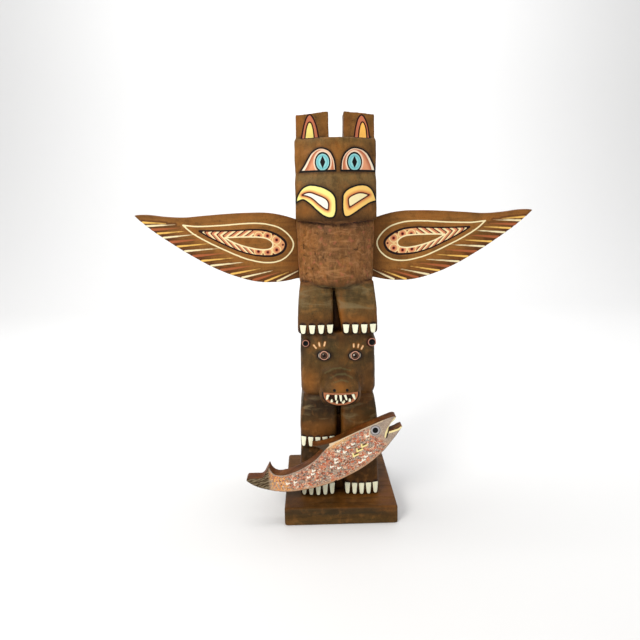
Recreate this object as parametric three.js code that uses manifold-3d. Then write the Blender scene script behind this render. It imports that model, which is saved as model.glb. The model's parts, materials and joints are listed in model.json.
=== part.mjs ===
// A carved and painted wooden totem pole of table size: a bird with spread wings sits on the
// head of a bear, the bear holds a salmon, and the log stands on a square plinth.
// Millimetres, +Z up, the front faces -Y, and the origin is under the middle of the plinth.

import * as THREE from "three";
import { mergeVertices } from "three/addons/utils/BufferGeometryUtils.js";
import Module from "manifold-3d";

const wasm = await Module();
wasm.setup();

// Between pieces that are glued together
const fitGap = 0.3;

// Plinth
const baseWidth = 114;
const baseDepth = 114;
const baseHeight = 17.5;
const baseCorner = 2.5;
const baseEdge = 1.4;

// Log: every figure shares its flat back, and this core runs up inside them all
const logBack = 34;
const logBackCorner = 7;
const coreHalf = 34.5;
const coreReach = 19;

// Bear, from the plinth up. A reach is how far a front stands before the log's middle plane.
const bearLegHeight = 46.5;
const bearLegOuter = 41.2;
const bearLegInner = 4.8;
const bearLegReach = 34.3;
const bellyGap = 7.5;
const bellyHalf = 39.9;
const bellyReach = 23;
const armHeight = 54;
const armOuter = 40.2;
const armInner = 2.4;
const armReach = 38.3;
const bearHeadHeight = 64.7;
const bearHeadHalf = 38.9;
const bearHeadReach = 38;
const armIntoHead = 1;
const bearFaceX = 1;
const muzzleHeight = 39;
const muzzleHalf = 21.5;
const muzzleReach = 56.5;
const chinDrop = 6.4;
const mouthHalf = 16.8;
const mouthHeight = 12;
const mouthRise = 8;
const mouthDepth = 2.2;
const toothProud = 0.4;
const nostrilRadius = 1.2;
const nostrilSpread = 6.3;
const nostrilRise = 12.9;
const bearEyeSpread = 15.8;
const bearEyeRise = 42.4;
const bearEyeHalf = 6.6;
const bearEyeHalfHeight = 4.8;
const bearEyeBulge = 1.2;
const leftEarX = -33.4;
const leftEarRadius = 4.6;
const rightEarX = 35;
const rightEarRadius = 5.4;
const earRise = 55.3;
const earReach = 34;
const earThickness = 16;
const earDishDepth = 1.6;

// Bird, standing on the bear's head
const birdLegHeight = 49.6;
const birdLegOuter = 40.9;
const birdLegInner = 4.6;
const birdLegReach = 38.5;
const birdSlitTop = 0.8;
const chestHeight = 65.2;
const chestHalfBelow = 38.9;
const chestHalfAbove = 41.4;
const chestReach = 40;
const chestDip = 2.6;
const beakHeight = 45.2;
const beakHalf = 41.1;
const beakReach = 46.5;
const beakDip = 3.2;
const foreheadHeight = 36.8;
const foreheadHalf = 41.2;
const foreheadReach = 42.5;
const hornHeight = 27.4;
const hornOuter = 39.4;
const hornLevel = 8;
const hornShoulderDrop = 4.1;
const hornReach = 27;
const hornThickness = 22;
const notchWidth = 14.6;
const notchX = 1;
const notchDraft = 0.4;

// Claws are all one form: wide above, narrow and round below, raised from toes parted by slits
const clawProud = 1.2;
const clawTaper = 0.62;
const clawShoulder = 0.78;
const toeSlitDepth = 2;
const toeSlitFlare = 1.6;
const birdClawHeight = 9.8;
const birdClawLift = 0.7;
const birdClawWidth = 6.8;
const birdClawOuter = 35.6;
const birdClawInner = 8;
const pawClawHeight = 9.8;
const pawClawLift = 1.2;
const pawClawWidth = 5.3;
const pawClawOuter = 37.1;
const pawClawInner = 7.5;
const footClawHeight = 11.3;
const footClawLift = 1.1;
const footClawWidth = 5.5;
const footClawOuter = 37.4;
const footClawInner = 7.9;

// Wings, two boards glued to the log's sides
const wingLength = 171.8;
const wingChord = 75;
const wingThickness = 12;
const wingFace = 2;
const wingEdge = 1.2;
const wingDrop = 30;
const wingRootInset = 6;

// Salmon, one board glued to the front of the paws
const fishLength = 165;
const fishThickness = 12;
const fishEdge = 0.9;
const fishTilt = THREE.MathUtils.degToRad(21.5);
const fishTailX = -95.4;
const fishTailRise = 26.7;

// Heights at which one figure gives way to the next
const logFoot = baseHeight + fitGap;
const legTop = logFoot + bearLegHeight;
const armFoot = legTop + bellyGap;
const headFoot = armFoot + armHeight - armIntoHead;
const birdFoot = headFoot + bearHeadHeight;
const chestFoot = birdFoot + birdLegHeight;
const beakFoot = chestFoot + chestHeight;
const foreheadFoot = beakFoot + beakHeight;
const hornFoot = foreheadFoot + foreheadHeight;

const birdClaws = {
  outer: birdClawOuter,
  inner: birdClawInner,
  lift: birdClawLift,
  width: birdClawWidth,
  height: birdClawHeight,
};
const pawClaws = {
  outer: pawClawOuter,
  inner: pawClawInner,
  lift: pawClawLift,
  width: pawClawWidth,
  height: pawClawHeight,
};
const footClaws = {
  outer: footClawOuter,
  inner: footClawInner,
  lift: footClawLift,
  width: footClawWidth,
  height: footClawHeight,
};

// How far a block runs into the one below or above it, so that they are one piece of wood
const seat = 0.8;

const materials = {
  plinthWood: new THREE.MeshStandardMaterial({ color: 0x55381f, roughness: 0.62 }),
  logWood: new THREE.MeshStandardMaterial({ color: 0x6a4a2a, roughness: 0.6 }),
  wingWood: new THREE.MeshStandardMaterial({ color: 0x80501f, roughness: 0.58 }),
  fishPaint: new THREE.MeshStandardMaterial({ color: 0xad9a84, roughness: 0.5 }),
};

// Solids

function solidFromGeometry(geometry) {
  geometry.deleteAttribute("normal");
  geometry.deleteAttribute("uv");
  const merged = mergeVertices(geometry, 1e-4);
  return new wasm.Manifold(
    new wasm.Mesh({
      numProp: 3,
      vertProperties: new Float32Array(merged.attributes.position.array),
      triVerts: new Uint32Array(merged.index.array),
    }),
  );
}

function geometryFromSolid(solid) {
  const mesh = solid.getMesh();
  const geometry = new THREE.BufferGeometry();
  geometry.setAttribute("position", new THREE.BufferAttribute(mesh.vertProperties, 3));
  geometry.setIndex(new THREE.BufferAttribute(mesh.triVerts, 1));
  geometry.computeVertexNormals();
  return geometry;
}

const joined = (solids) => solids.reduce((sum, next) => sum.add(next));
const without = (solid, cuts) => cuts.reduce((rest, cut) => rest.subtract(cut), solid);

// Blocks of the log

// A block has a left and right side, each a number or [below, above], a reach, a bowed front
// with rounded corners, and a profile of rows [share of the height, sides drawn in, front drawn
// back]. drawLeft and drawRight say which sides follow the profile.
const blockDefaults = { bow: 0, corner: 5, dip: 0, drawLeft: 1, drawRight: 1, back: logBack };
const block = (sizes) => ({ ...blockDefaults, ...sizes });

const between = (value, share) =>
  Array.isArray(value) ? THREE.MathUtils.lerp(value[0], value[1], share) : value;

function rowAt(part, share) {
  const rows = part.profile;
  const above = rows.findIndex((row) => row[0] >= share);
  const last = rows.length - 1;
  const next = above < 0 ? last : Math.max(above, 1);
  const [low, high] = [rows[next - 1], rows[next]];
  const mix = (share - low[0]) / (high[0] - low[0]);
  return [share, THREE.MathUtils.lerp(low[1], high[1], mix), THREE.MathUtils.lerp(low[2], high[2], mix)];
}

function levelOf(part, [share, drawn, sunk]) {
  const left = between(part.left, share) + drawn * part.drawLeft;
  const right = between(part.right, share) - drawn * part.drawRight;
  const middle = (left + right) / 2;
  const half = (right - left) / 2;
  const faceY = (x) => -part.reach + sunk + part.bow * ((x - middle) / half) ** 2;
  return { left, right, middle, half, faceY, z: part.bottom + share * part.height };
}

// The front of a block at a place on it
const levelAtHeight = (part, z) => levelOf(part, rowAt(part, (z - part.bottom) / part.height));
const faceAt = (part, x, z) => levelAtHeight(part, z).faceY(x);

const frontSteps = 10;
const cornerSteps = 3;

// The most of a block's half width that a rounded corner takes
const cornerShare = 0.6;

function ringPoints(part, row) {
  const { left, right, middle, half, faceY, z } = levelOf(part, row);
  const corner = Math.min(part.corner, half * cornerShare);
  const backCorner = Math.min(logBackCorner, half * cornerShare);
  const points = [];
  const bend = (from, tip, to) => {
    const curve = new THREE.QuadraticBezierCurve(
      new THREE.Vector2(...from), new THREE.Vector2(...tip), new THREE.Vector2(...to));
    points.push(...curve.getPoints(cornerSteps).slice(1));
  };
  for (let i = 0; i <= frontSteps; i += 1) {
    const x = THREE.MathUtils.lerp(left + corner, right - corner, i / frontSteps);
    points.push(new THREE.Vector2(x, faceY(x)));
  }
  const rightStart = [right - corner, faceY(right - corner)];
  bend(rightStart, [right, faceY(right)], [right, faceY(right) + corner]);
  points.push(new THREE.Vector2(right, part.back - backCorner));
  bend([right, part.back - backCorner], [right, part.back], [right - backCorner, part.back]);
  points.push(new THREE.Vector2(left + backCorner, part.back));
  bend([left + backCorner, part.back], [left, part.back], [left, part.back - backCorner]);
  points.push(new THREE.Vector2(left, faceY(left) + corner));
  bend([left, faceY(left) + corner], [left, faceY(left)], [left + corner, faceY(left + corner)]);
  points.pop();
  const front = faceY(middle);
  return points.map(({ x, y }) => {
    const across = 1 - ((x - middle) / half) ** 2;
    const forward = (part.back - y) / (part.back - front);
    return [x, y, z - part.dip * (1 - row[0]) ** 2 * across * forward];
  });
}

// A closed skin through rings of equally many points, the lowest ring first
function solidFromRings(rings) {
  const count = rings[0].length;
  const corners = rings.flat(2);
  const faces = [];
  for (let level = 0; level + 1 < rings.length; level += 1) {
    for (let i = 0; i < count; i += 1) {
      const a = level * count + i;
      const b = level * count + ((i + 1) % count);
      faces.push(a, b, b + count, a, b + count, a + count);
    }
  }
  const cap = (level, upward) => {
    const ring = rings[level];
    const centre = ring.reduce((sum, p) => sum.map((v, k) => v + p[k] / count), [0, 0, 0]);
    const hub = corners.length / 3;
    corners.push(...centre);
    for (let i = 0; i < count; i += 1) {
      const a = level * count + i;
      const b = level * count + ((i + 1) % count);
      faces.push(...(upward ? [a, b, hub] : [b, a, hub]));
    }
  };
  cap(0, false);
  cap(rings.length - 1, true);
  return new wasm.Manifold(
    new wasm.Mesh({
      numProp: 3,
      vertProperties: new Float32Array(corners),
      triVerts: new Uint32Array(faces),
    }),
  );
}

const solidFromBlock = (part) => solidFromRings(part.profile.map((row) => ringPoints(part, row)));

// An upright shape in X and Z, pushed from one Y to another that is nearer the front
function solidFromUpright(shape, backY, frontY, curveSegments = 4) {
  const geometry = new THREE.ExtrudeGeometry(shape, {
    depth: backY - frontY,
    bevelEnabled: false,
    curveSegments,
  });
  geometry.rotateX(Math.PI / 2);
  geometry.translate(0, backY, 0);
  return solidFromGeometry(geometry);
}

// A claw or tooth that hangs from [x, z], leaning over by an angle
function clawShape(x, z, width, height, lean = 0) {
  const half = width / 2;
  const tip = half * clawTaper;
  const shoulder = height * clawShoulder;
  const outline = [
    [-half, 0],
    [-tip, -shoulder],
    [-tip * clawTaper, -height],
    [tip * clawTaper, -height],
    [tip, -shoulder],
    [half, 0],
  ];
  const pivot = new THREE.Vector2();
  return new THREE.Shape(
    outline.map(([u, v]) => new THREE.Vector2(u, v).rotateAround(pivot, lean).add({ x, y: z })),
  );
}

// Claws side by side across a block, the outer and inner one at their distances from the log's
// middle, with slits between the toes
function clawRow(part, side, count, { outer, inner, lift, width, height }) {
  const firstX = side * outer;
  const pitch = (side * (inner - outer)) / (count - 1);
  const topZ = part.bottom + lift + height;
  const claws = [];
  const slits = [];
  for (let i = 0; i < count; i += 1) {
    const x = firstX + i * pitch;
    const front = faceAt(part, x, topZ - height / 2);
    const claw = clawShape(x, topZ, width, height);
    claws.push(solidFromUpright(claw, front + toeSlitDepth, front - clawProud));
    if (i + 1 < count) {
      const slitX = x + pitch / 2;
      const slitHalf = (Math.abs(pitch) - width) / 2;
      const slit = new THREE.Shape([
        new THREE.Vector2(slitX - slitHalf * toeSlitFlare, part.bottom - seat),
        new THREE.Vector2(slitX + slitHalf * toeSlitFlare, part.bottom - seat),
        new THREE.Vector2(slitX, topZ),
      ]);
      const slitFront = faceAt(part, slitX, topZ - height / 2);
      slits.push(solidFromUpright(slit, slitFront + toeSlitDepth, slitFront - toeSlitDepth));
    }
  }
  return { claws, slits };
}

// Bear

function bearLegBlock(side) {
  return block({
    bottom: logFoot,
    height: bearLegHeight,
    left: side < 0 ? -bearLegOuter : bearLegInner,
    right: side < 0 ? -bearLegInner : bearLegOuter,
    drawLeft: side < 0 ? 1 : 0,
    drawRight: side < 0 ? 0 : 1,
    reach: bearLegReach,
    bow: 2.5,
    profile: [[0, 0.8, 1], [0.03, 0, 0], [0.27, 0, 0], [0.3, 0, 0.8], [0.62, 0.3, 1.6], [0.84, 0.8, 4.5],
      [1, 1.4, 10.5]],
  });
}

function armBlock(side) {
  return block({
    bottom: armFoot,
    height: armHeight,
    left: side < 0 ? -armOuter : armInner,
    right: side < 0 ? -armInner : armOuter,
    drawLeft: side < 0 ? 1 : 0,
    drawRight: side < 0 ? 0 : 1,
    reach: armReach,
    bow: 3.5,
    corner: 6,
    profile: [[0, 0.9, 1.6], [0.03, 0.1, 0.2], [0.42, 0, 0], [0.48, 0, 0.8], [0.68, 0.7, 2.6],
      [0.86, 2.2, 5.5], [1, 4, 9]],
  });
}

const belly = block({
  bottom: logFoot + seat,
  height: armFoot - logFoot + armHeight / 2,
  left: -bellyHalf,
  right: bellyHalf,
  reach: bellyReach,
  bow: 3,
  profile: [[0, 0.4, 0], [0.6, 0, 0], [1, 1.6, 1]],
});

const bearHead = block({
  bottom: headFoot,
  height: bearHeadHeight + seat,
  left: -bearHeadHalf,
  right: bearHeadHalf,
  reach: bearHeadReach,
  bow: 8,
  corner: 7,
  profile: [[0, 2.4, 4], [0.03, 1, 1.8], [0.09, 0.3, 0.6], [0.36, 0, 0], [0.74, 0.2, 1], [0.9, 0.6, 3],
    [1, 1.2, 5]],
});

const muzzle = block({
  bottom: headFoot - chinDrop,
  height: muzzleHeight,
  left: bearFaceX - muzzleHalf,
  right: bearFaceX + muzzleHalf,
  reach: muzzleReach,
  back: 0,
  bow: 5,
  corner: 9,
  profile: [[0, 6.5, 10], [0.05, 3.6, 6.2], [0.15, 1.3, 3], [0.28, 0.1, 1.2], [0.43, 0, 0],
    [0.55, 0.8, 1.2], [0.67, 2.2, 5], [0.8, 4.6, 10.5], [0.91, 7.6, 15.5], [1, 11.5, 20.5]],
});

const mouthTop = headFoot + mouthRise;

function mouthShape() {
  const shape = new THREE.Shape();
  const low = mouthTop - mouthHeight;
  const at = (share) => bearFaceX + mouthHalf * share;
  shape.moveTo(at(-1), mouthTop);
  shape.bezierCurveTo(at(-0.78), low + 0.4, at(-0.35), low, at(0), low);
  shape.bezierCurveTo(at(0.35), low, at(0.78), low + 0.4, at(1), mouthTop);
  return shape;
}

// How much of the mouth's height the lower lip rises by, towards the corners
const lipCurve = 0.75;

// Five teeth hang from the upper jaw and four stand between them: [X, width, height, lean]
const upperTeeth = [[-13.2, 2.7, 5.4, -0.3], [-4.6, 2.6, 5.4, 0], [0.3, 2.6, 5.8, 0.06],
  [5, 2.6, 5.6, 0.22], [13.4, 2.7, 5.6, 0.35]];
const lowerTeeth = [[-9, 2.8, 3.6, 0.1], [-3.4, 2.4, 3.4, -0.2], [2.9, 2.6, 3.2, 0.25], [9.2, 2.8, 3.6, 0]];

function teeth() {
  const floor = mouthTop - mouthHeight;
  const tooth = (fromMiddle, z, width, height, lean) => {
    const x = bearFaceX + fromMiddle;
    const front = faceAt(muzzle, x, z) + toothProud;
    return solidFromUpright(clawShape(x, z, width, height, lean), front + mouthDepth * 2, front);
  };
  const above = upperTeeth.map(([x, w, h, lean]) => tooth(x, mouthTop + toothProud, w, h, lean));
  const below = lowerTeeth.map(([x, w, h, lean]) => {
    const lipRise = (x / mouthHalf) ** 2 * mouthHeight * lipCurve;
    return tooth(x, floor + toothProud + lipRise, w, h, Math.PI + lean);
  });
  return [...above, ...below];
}

function bearEye(side) {
  const x = bearFaceX + side * bearEyeSpread;
  const z = headFoot + bearEyeRise;
  const geometry = new THREE.SphereGeometry(1, 14, 8);
  geometry.scale(bearEyeHalf, bearEyeBulge * 2, bearEyeHalfHeight);
  geometry.translate(x, faceAt(bearHead, x, z) + bearEyeBulge, z);
  return solidFromGeometry(geometry);
}

// A short round peg with a dished end
function bearEar(x, radius) {
  const z = headFoot + earRise;
  const disc = (frontRadius, backRadius, frontY, depth) => {
    const geometry = new THREE.CylinderGeometry(backRadius, frontRadius, depth, 18);
    geometry.translate(x, frontY + depth / 2, z);
    return solidFromGeometry(geometry);
  };
  return {
    rim: disc(radius * 0.86, radius, -earReach, earThickness),
    dish: disc(radius * 0.62, radius * 0.5, -earReach - seat, earDishDepth + seat),
  };
}

function nostril(side) {
  const z = headFoot + nostrilRise;
  const x = bearFaceX + side * nostrilSpread;
  const geometry = new THREE.CylinderGeometry(nostrilRadius, nostrilRadius, mouthDepth * 2, 8);
  geometry.translate(x, faceAt(muzzle, x, z), z);
  return solidFromGeometry(geometry);
}

function bearSolid() {
  const sides = [-1, 1];
  const legs = sides.map(bearLegBlock);
  const arms = sides.map(armBlock);
  const footRows = legs.map((leg, i) => clawRow(leg, sides[i], 5, footClaws));
  const pawRows = arms.map((arm, i) => clawRow(arm, sides[i], 5, pawClaws));
  const rows = [...footRows, ...pawRows];
  const limbs = joined([...legs, ...arms].map(solidFromBlock));
  const body = without(limbs, rows.flatMap((row) => row.slits));
  const lips = solidFromUpright(mouthShape(), 0, -muzzleReach - 1);
  const innerMuzzle = solidFromBlock(block({ ...muzzle, reach: muzzleReach - mouthDepth }));
  const mouth = lips.subtract(innerMuzzle);
  const ears = [bearEar(leftEarX, leftEarRadius), bearEar(rightEarX, rightEarRadius)];
  const head = joined([solidFromBlock(bearHead), solidFromBlock(muzzle), ...ears.map((ear) => ear.rim)]);
  const face = without(head, [mouth, nostril(-1), nostril(1), ...ears.map((ear) => ear.dish)]);
  return joined([body, solidFromBlock(belly), face, bearEye(-1), bearEye(1), ...teeth(),
    ...rows.flatMap((row) => row.claws)]);
}

// Bird

// The slit between the legs opens downwards, to the viewer's right
function birdLegBlock(side) {
  return block({
    bottom: birdFoot,
    height: birdLegHeight + 2,
    left: side < 0 ? -birdLegOuter : [birdLegInner, birdSlitTop - birdLegInner],
    right: side < 0 ? -birdLegInner : birdLegOuter,
    drawLeft: side < 0 ? 1 : 0,
    drawRight: side < 0 ? 0 : 1,
    reach: birdLegReach,
    bow: 2.5,
    profile: [[0, 1.8, 1.8], [0.03, 0.4, 0.3], [0.07, 0, 0], [0.22, 0, 0], [0.25, 0, 0.8], [0.5, 0.5, 1.2],
      [0.72, 1.5, 3.6], [0.9, 2.4, 7.5], [1, 2.9, 11]],
  });
}

const chest = block({
  bottom: chestFoot,
  height: chestHeight + seat,
  left: [-chestHalfBelow, -chestHalfAbove],
  right: [chestHalfBelow, chestHalfAbove],
  reach: chestReach,
  dip: chestDip,
  bow: 27,
  profile: [[0, 0.8, 4], [0.03, 0.2, 1.6], [0.12, 0, 0.2], [0.4, 0, 0], [0.8, 0, 0.4], [1, 0, 2.4]],
});

const beak = block({
  bottom: beakFoot,
  height: beakHeight + seat,
  left: -beakHalf,
  right: beakHalf,
  reach: beakReach,
  dip: beakDip,
  bow: 15,
  corner: 3,
  profile: [[0, 0.5, 2.2], [0.05, 0, 0.4], [0.2, 0, 0], [0.6, 0, 0], [0.86, 0, 1.4], [1, 0.5, 3.4]],
});

const forehead = block({
  bottom: foreheadFoot,
  height: foreheadHeight,
  left: -foreheadHalf,
  right: foreheadHalf,
  reach: foreheadReach,
  bow: 14,
  corner: 3,
  profile: [[0, 0.8, 0.6], [0.2, 0.3, 0.2], [0.6, 0, 0], [0.94, 0.1, 0], [1, 0.9, 1.2]],
});

// A horn's top is level beside the notch and falls away outwards. The notch is a little wider
// above than below.
function hornSolid(side) {
  const inner = notchWidth / 2 + side * notchX;
  const top = hornFoot + hornHeight;
  const shoulder = top - hornShoulderDrop;
  const bulge = [(inner + hornOuter) / 2 + hornLevel / 2, top - hornShoulderDrop / 5];
  const shape = new THREE.Shape();
  shape.moveTo(side * (inner - notchDraft), hornFoot - seat);
  shape.lineTo(side * (inner + notchDraft), top);
  shape.lineTo(side * (inner + hornLevel), top);
  shape.quadraticCurveTo(side * bulge[0], bulge[1], side * (hornOuter - 1.4), shoulder + 1.4);
  shape.lineTo(side * hornOuter, shoulder);
  shape.lineTo(side * hornOuter, hornFoot - seat);
  return solidFromUpright(shape, hornThickness - hornReach, -hornReach);
}

function birdSolid() {
  const sides = [-1, 1];
  const legs = sides.map(birdLegBlock);
  const rows = legs.map((leg, i) => clawRow(leg, sides[i], 4, birdClaws));
  const feet = without(joined(legs.map(solidFromBlock)), rows.flatMap((row) => row.slits));
  const trunk = [chest, beak, forehead].map(solidFromBlock);
  return joined([feet, ...trunk, hornSolid(-1), hornSolid(1), ...rows.flatMap((row) => row.claws)]);
}

function poleSolid() {
  const core = block({
    bottom: logFoot,
    height: foreheadFoot - logFoot,
    left: -coreHalf,
    right: coreHalf,
    reach: coreReach,
    profile: [[0, 0, 0], [1, 0, 0]],
  });
  return joined([solidFromBlock(core), bearSolid(), birdSolid()]);
}

// Plinth

function baseSolid() {
  const halfWidth = baseWidth / 2 - baseEdge;
  const halfDepth = baseDepth / 2 - baseEdge;
  const shape = new THREE.Shape();
  shape.moveTo(-halfWidth + baseCorner, -halfDepth);
  shape.lineTo(halfWidth - baseCorner, -halfDepth);
  shape.quadraticCurveTo(halfWidth, -halfDepth, halfWidth, -halfDepth + baseCorner);
  shape.lineTo(halfWidth, halfDepth - baseCorner);
  shape.quadraticCurveTo(halfWidth, halfDepth, halfWidth - baseCorner, halfDepth);
  shape.lineTo(-halfWidth + baseCorner, halfDepth);
  shape.quadraticCurveTo(-halfWidth, halfDepth, -halfWidth, halfDepth - baseCorner);
  shape.lineTo(-halfWidth, -halfDepth + baseCorner);
  shape.quadraticCurveTo(-halfWidth, -halfDepth, -halfWidth + baseCorner, -halfDepth);
  const geometry = new THREE.ExtrudeGeometry(shape, {
    depth: baseHeight - 2 * baseEdge,
    bevelThickness: baseEdge,
    bevelSize: baseEdge,
    bevelSegments: 3,
    curveSegments: 4,
  });
  geometry.translate(0, 0, baseEdge);
  return solidFromGeometry(geometry);
}

// Wings

// Edges of a wing, as [share of the length from the log, share of the chord over its middle]:
// the upper one from the log to the tip, the lower one back to the log
const wingTop = [[0, 0.42], [0.075, 0.475], [0.17, 0.518], [0.285, 0.525], [0.43, 0.513],
  [0.575, 0.49], [0.7, 0.471], [0.82, 0.485], [0.94, 0.517], [1, 0.512]];
const wingBottom = [[0.97, 0.445], [0.9, 0.31], [0.78, 0.112], [0.63, -0.108], [0.49, -0.282],
  [0.365, -0.395], [0.25, -0.462], [0.16, -0.475], [0.07, -0.458], [0, -0.425]];

// The log's side beside a wing, with the gap, and well past the wing above and below
function logSideShape(side) {
  const parts = [birdLegBlock(1), chest, beak];
  const heights = parts.flatMap((part) => part.profile.map(([share]) => part.bottom + share * part.height));
  const edge = heights.sort((low, high) => low - high).map((z) => {
    const beside = parts.filter(({ bottom, height }) => z >= bottom && z <= bottom + height);
    const reach = Math.max(...beside.map((part) => levelAtHeight(part, z).right));
    return new THREE.Vector2(side * (reach + fitGap), z);
  });
  const low = new THREE.Vector2(0, edge[0].y);
  const high = new THREE.Vector2(0, edge[edge.length - 1].y);
  return new THREE.Shape([low, ...edge, high]);
}

function wingSolid(side) {
  const place = ([along, up]) =>
    new THREE.Vector2(
      side * (chestHalfAbove + wingLength * along),
      beakFoot - wingDrop + wingChord * up);
  const rootX = side * (chestHalfBelow - wingRootInset);
  const top = wingTop.map(place);
  const bottom = wingBottom.map(place);
  const shape = new THREE.Shape();
  shape.moveTo(rootX, top[0].y);
  shape.lineTo(top[0].x, top[0].y);
  shape.splineThru(top.slice(1));
  shape.splineThru(bottom);
  shape.lineTo(rootX, bottom[bottom.length - 1].y);
  const geometry = new THREE.ExtrudeGeometry(shape, {
    depth: wingThickness - 2 * wingEdge,
    bevelThickness: wingEdge,
    bevelSize: wingEdge,
    bevelOffset: -wingEdge,
    bevelSegments: 1,
    curveSegments: 2,
  });
  geometry.rotateX(Math.PI / 2);
  geometry.translate(0, wingThickness - wingFace - wingEdge, 0);
  const logSide = solidFromUpright(logSideShape(side), logBack, -logBack);
  return solidFromGeometry(geometry).subtract(logSide);
}

// Salmon

// The outline in shares of the length, lying level with the snout to the right and its origin
// at the tail's tip
const fishBelly = [[0.03, -0.045], [0.1, -0.105], [0.2, -0.162], [0.34, -0.2], [0.485, -0.217],
  [0.6, -0.214], [0.72, -0.195], [0.835, -0.157], [0.92, -0.111], [0.985, -0.071], [1, -0.058]];
const fishJaw = [[0.99, -0.053], [0.955, -0.056], [0.915, -0.053]];
const fishPalate = [[0.93, -0.03], [0.95, -0.01], [0.985, 0.006], [0.995, 0.016]];
const fishBack = [[0.985, 0.026], [0.95, 0.03], [0.885, 0.03], [0.775, 0.028], [0.66, 0.022], [0.585, 0.02],
  [0.52, 0.028], [0.45, 0.044]];
const fishSaddle = [[0.485, 0.02], [0.505, -0.008], [0.46, -0.033], [0.405, -0.05], [0.32, -0.062],
  [0.235, -0.057], [0.185, -0.036], [0.168, -0.004], [0.167, 0.032]];
const fishTail = [[0.135, 0.004], [0.1, -0.02], [0.055, -0.006], [0.017, 0.009], [0, 0]];

function fishSolid() {
  const place = ([along, up]) => new THREE.Vector2(along * fishLength, up * fishLength);
  const shape = new THREE.Shape();
  shape.moveTo(0, 0);
  [fishBelly, fishJaw, fishPalate, fishBack, fishSaddle, fishTail].forEach((run) =>
    shape.splineThru(run.map(place)));
  const geometry = new THREE.ExtrudeGeometry(shape, {
    depth: fishThickness - 2 * fishEdge,
    bevelThickness: fishEdge,
    bevelSize: fishEdge / 2,
    bevelOffset: -fishEdge / 2,
    bevelSegments: 1,
    curveSegments: 1,
  });
  geometry.rotateX(Math.PI / 2);
  geometry.translate(0, -fishEdge, 0);
  return solidFromGeometry(geometry);
}

// Assembly

function piece(name, solid, material) {
  const mesh = new THREE.Mesh(geometryFromSolid(solid), material);
  mesh.name = name;
  return mesh;
}

const group = new THREE.Group();

group.add(piece("base", baseSolid(), materials.plinthWood));
group.add(piece("pole", poleSolid(), materials.logWood));
group.add(piece("left_wing", wingSolid(-1), materials.wingWood));
group.add(piece("right_wing", wingSolid(1), materials.wingWood));

const salmon = piece("salmon", fishSolid(), materials.fishPaint);
salmon.position.set(fishTailX, -(armReach + clawProud + fitGap), armFoot - fishTailRise);
salmon.rotation.y = -fishTilt;
group.add(salmon);

export default group;
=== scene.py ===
# %% [markdown]
# # A carved and painted totem pole of table size
# The real object is five pieces of wood: a square plinth, one carved log, two flat wings glued
# to the log's sides and a flat salmon glued to its front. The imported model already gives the
# place and the size of each one. This lesson carves them again more finely, then stains and
# paints them.

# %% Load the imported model
import json
import math

import bmesh
import bpy
import numpy as np
from mathutils import Matrix, Vector

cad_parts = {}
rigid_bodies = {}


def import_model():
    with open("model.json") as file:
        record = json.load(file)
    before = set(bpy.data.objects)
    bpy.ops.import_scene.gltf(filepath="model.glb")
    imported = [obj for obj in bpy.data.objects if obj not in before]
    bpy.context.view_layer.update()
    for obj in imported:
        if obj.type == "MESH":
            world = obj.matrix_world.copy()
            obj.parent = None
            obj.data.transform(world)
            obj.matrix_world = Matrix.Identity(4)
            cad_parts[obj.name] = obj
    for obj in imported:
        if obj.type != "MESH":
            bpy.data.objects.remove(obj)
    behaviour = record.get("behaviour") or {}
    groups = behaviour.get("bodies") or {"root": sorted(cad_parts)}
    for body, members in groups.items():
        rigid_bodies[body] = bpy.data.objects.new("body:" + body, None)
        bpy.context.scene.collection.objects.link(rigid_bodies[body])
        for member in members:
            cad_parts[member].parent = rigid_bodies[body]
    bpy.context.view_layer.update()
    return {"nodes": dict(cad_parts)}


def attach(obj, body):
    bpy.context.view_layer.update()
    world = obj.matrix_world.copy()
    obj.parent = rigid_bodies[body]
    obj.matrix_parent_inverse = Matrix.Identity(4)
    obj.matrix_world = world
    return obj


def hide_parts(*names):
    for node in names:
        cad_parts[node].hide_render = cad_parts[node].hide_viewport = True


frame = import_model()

MM = 0.001
print("nodes:", sorted(frame["nodes"]))

# %% [markdown]
# ## The camera
# The photograph was taken from close by, about half a metre in front of the log and a little
# above its middle. The picture was then cropped, so the lens looks a little above the frame's
# middle, which a vertical shift gives back.

# %% Place the camera
CAMERA_PLACE = Vector((-26.74, -536.36, 313.92)) * MM
PITCH_DOWN = math.radians(4.5)
YAW = -0.0192
ROLL = -0.0151

bpy.ops.object.select_all(action="DESELECT")
bpy.ops.object.camera_add(location=CAMERA_PLACE)
camera = bpy.context.object
camera.name = "camera"
turn = (
    Matrix.Rotation(YAW, 4, "Z")
    @ Matrix.Rotation(math.pi / 2 - PITCH_DOWN, 4, "X")
    @ Matrix.Rotation(ROLL, 4, "Z")
)
camera.matrix_world = Matrix.Translation(CAMERA_PLACE) @ turn
camera.data.sensor_width = 36
camera.data.lens = 28.17
camera.data.shift_y = -0.1082
camera.data.clip_start = 0.01
bpy.context.scene.camera = camera
print("camera at", tuple(round(v, 3) for v in camera.location))

# %% [markdown]
# ## Tools for working as by hand
# Each step below adds a plain form, goes into edit mode, picks corners, edges or faces by where
# they are, and moves, extrudes or bevels them. These helpers do the picking and the applying.


# %% Helpers for edit mode and modifiers
def mm(*lengths):
    """Lengths in millimetres as metres."""
    return tuple(length * MM for length in lengths)


def take(*pieces):
    """Selects these pieces and nothing else. The first one becomes the active one."""
    bpy.ops.object.select_all(action="DESELECT")
    for piece in pieces:
        piece.select_set(True)
    if pieces:
        bpy.context.view_layer.objects.active = pieces[0]


def start_piece(name):
    """Names the form that was just added and makes its place part of its mesh."""
    piece = bpy.context.object
    piece.name = name
    piece.data.name = name
    bpy.ops.object.transform_apply(location=True, rotation=True, scale=True)
    return piece


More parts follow.
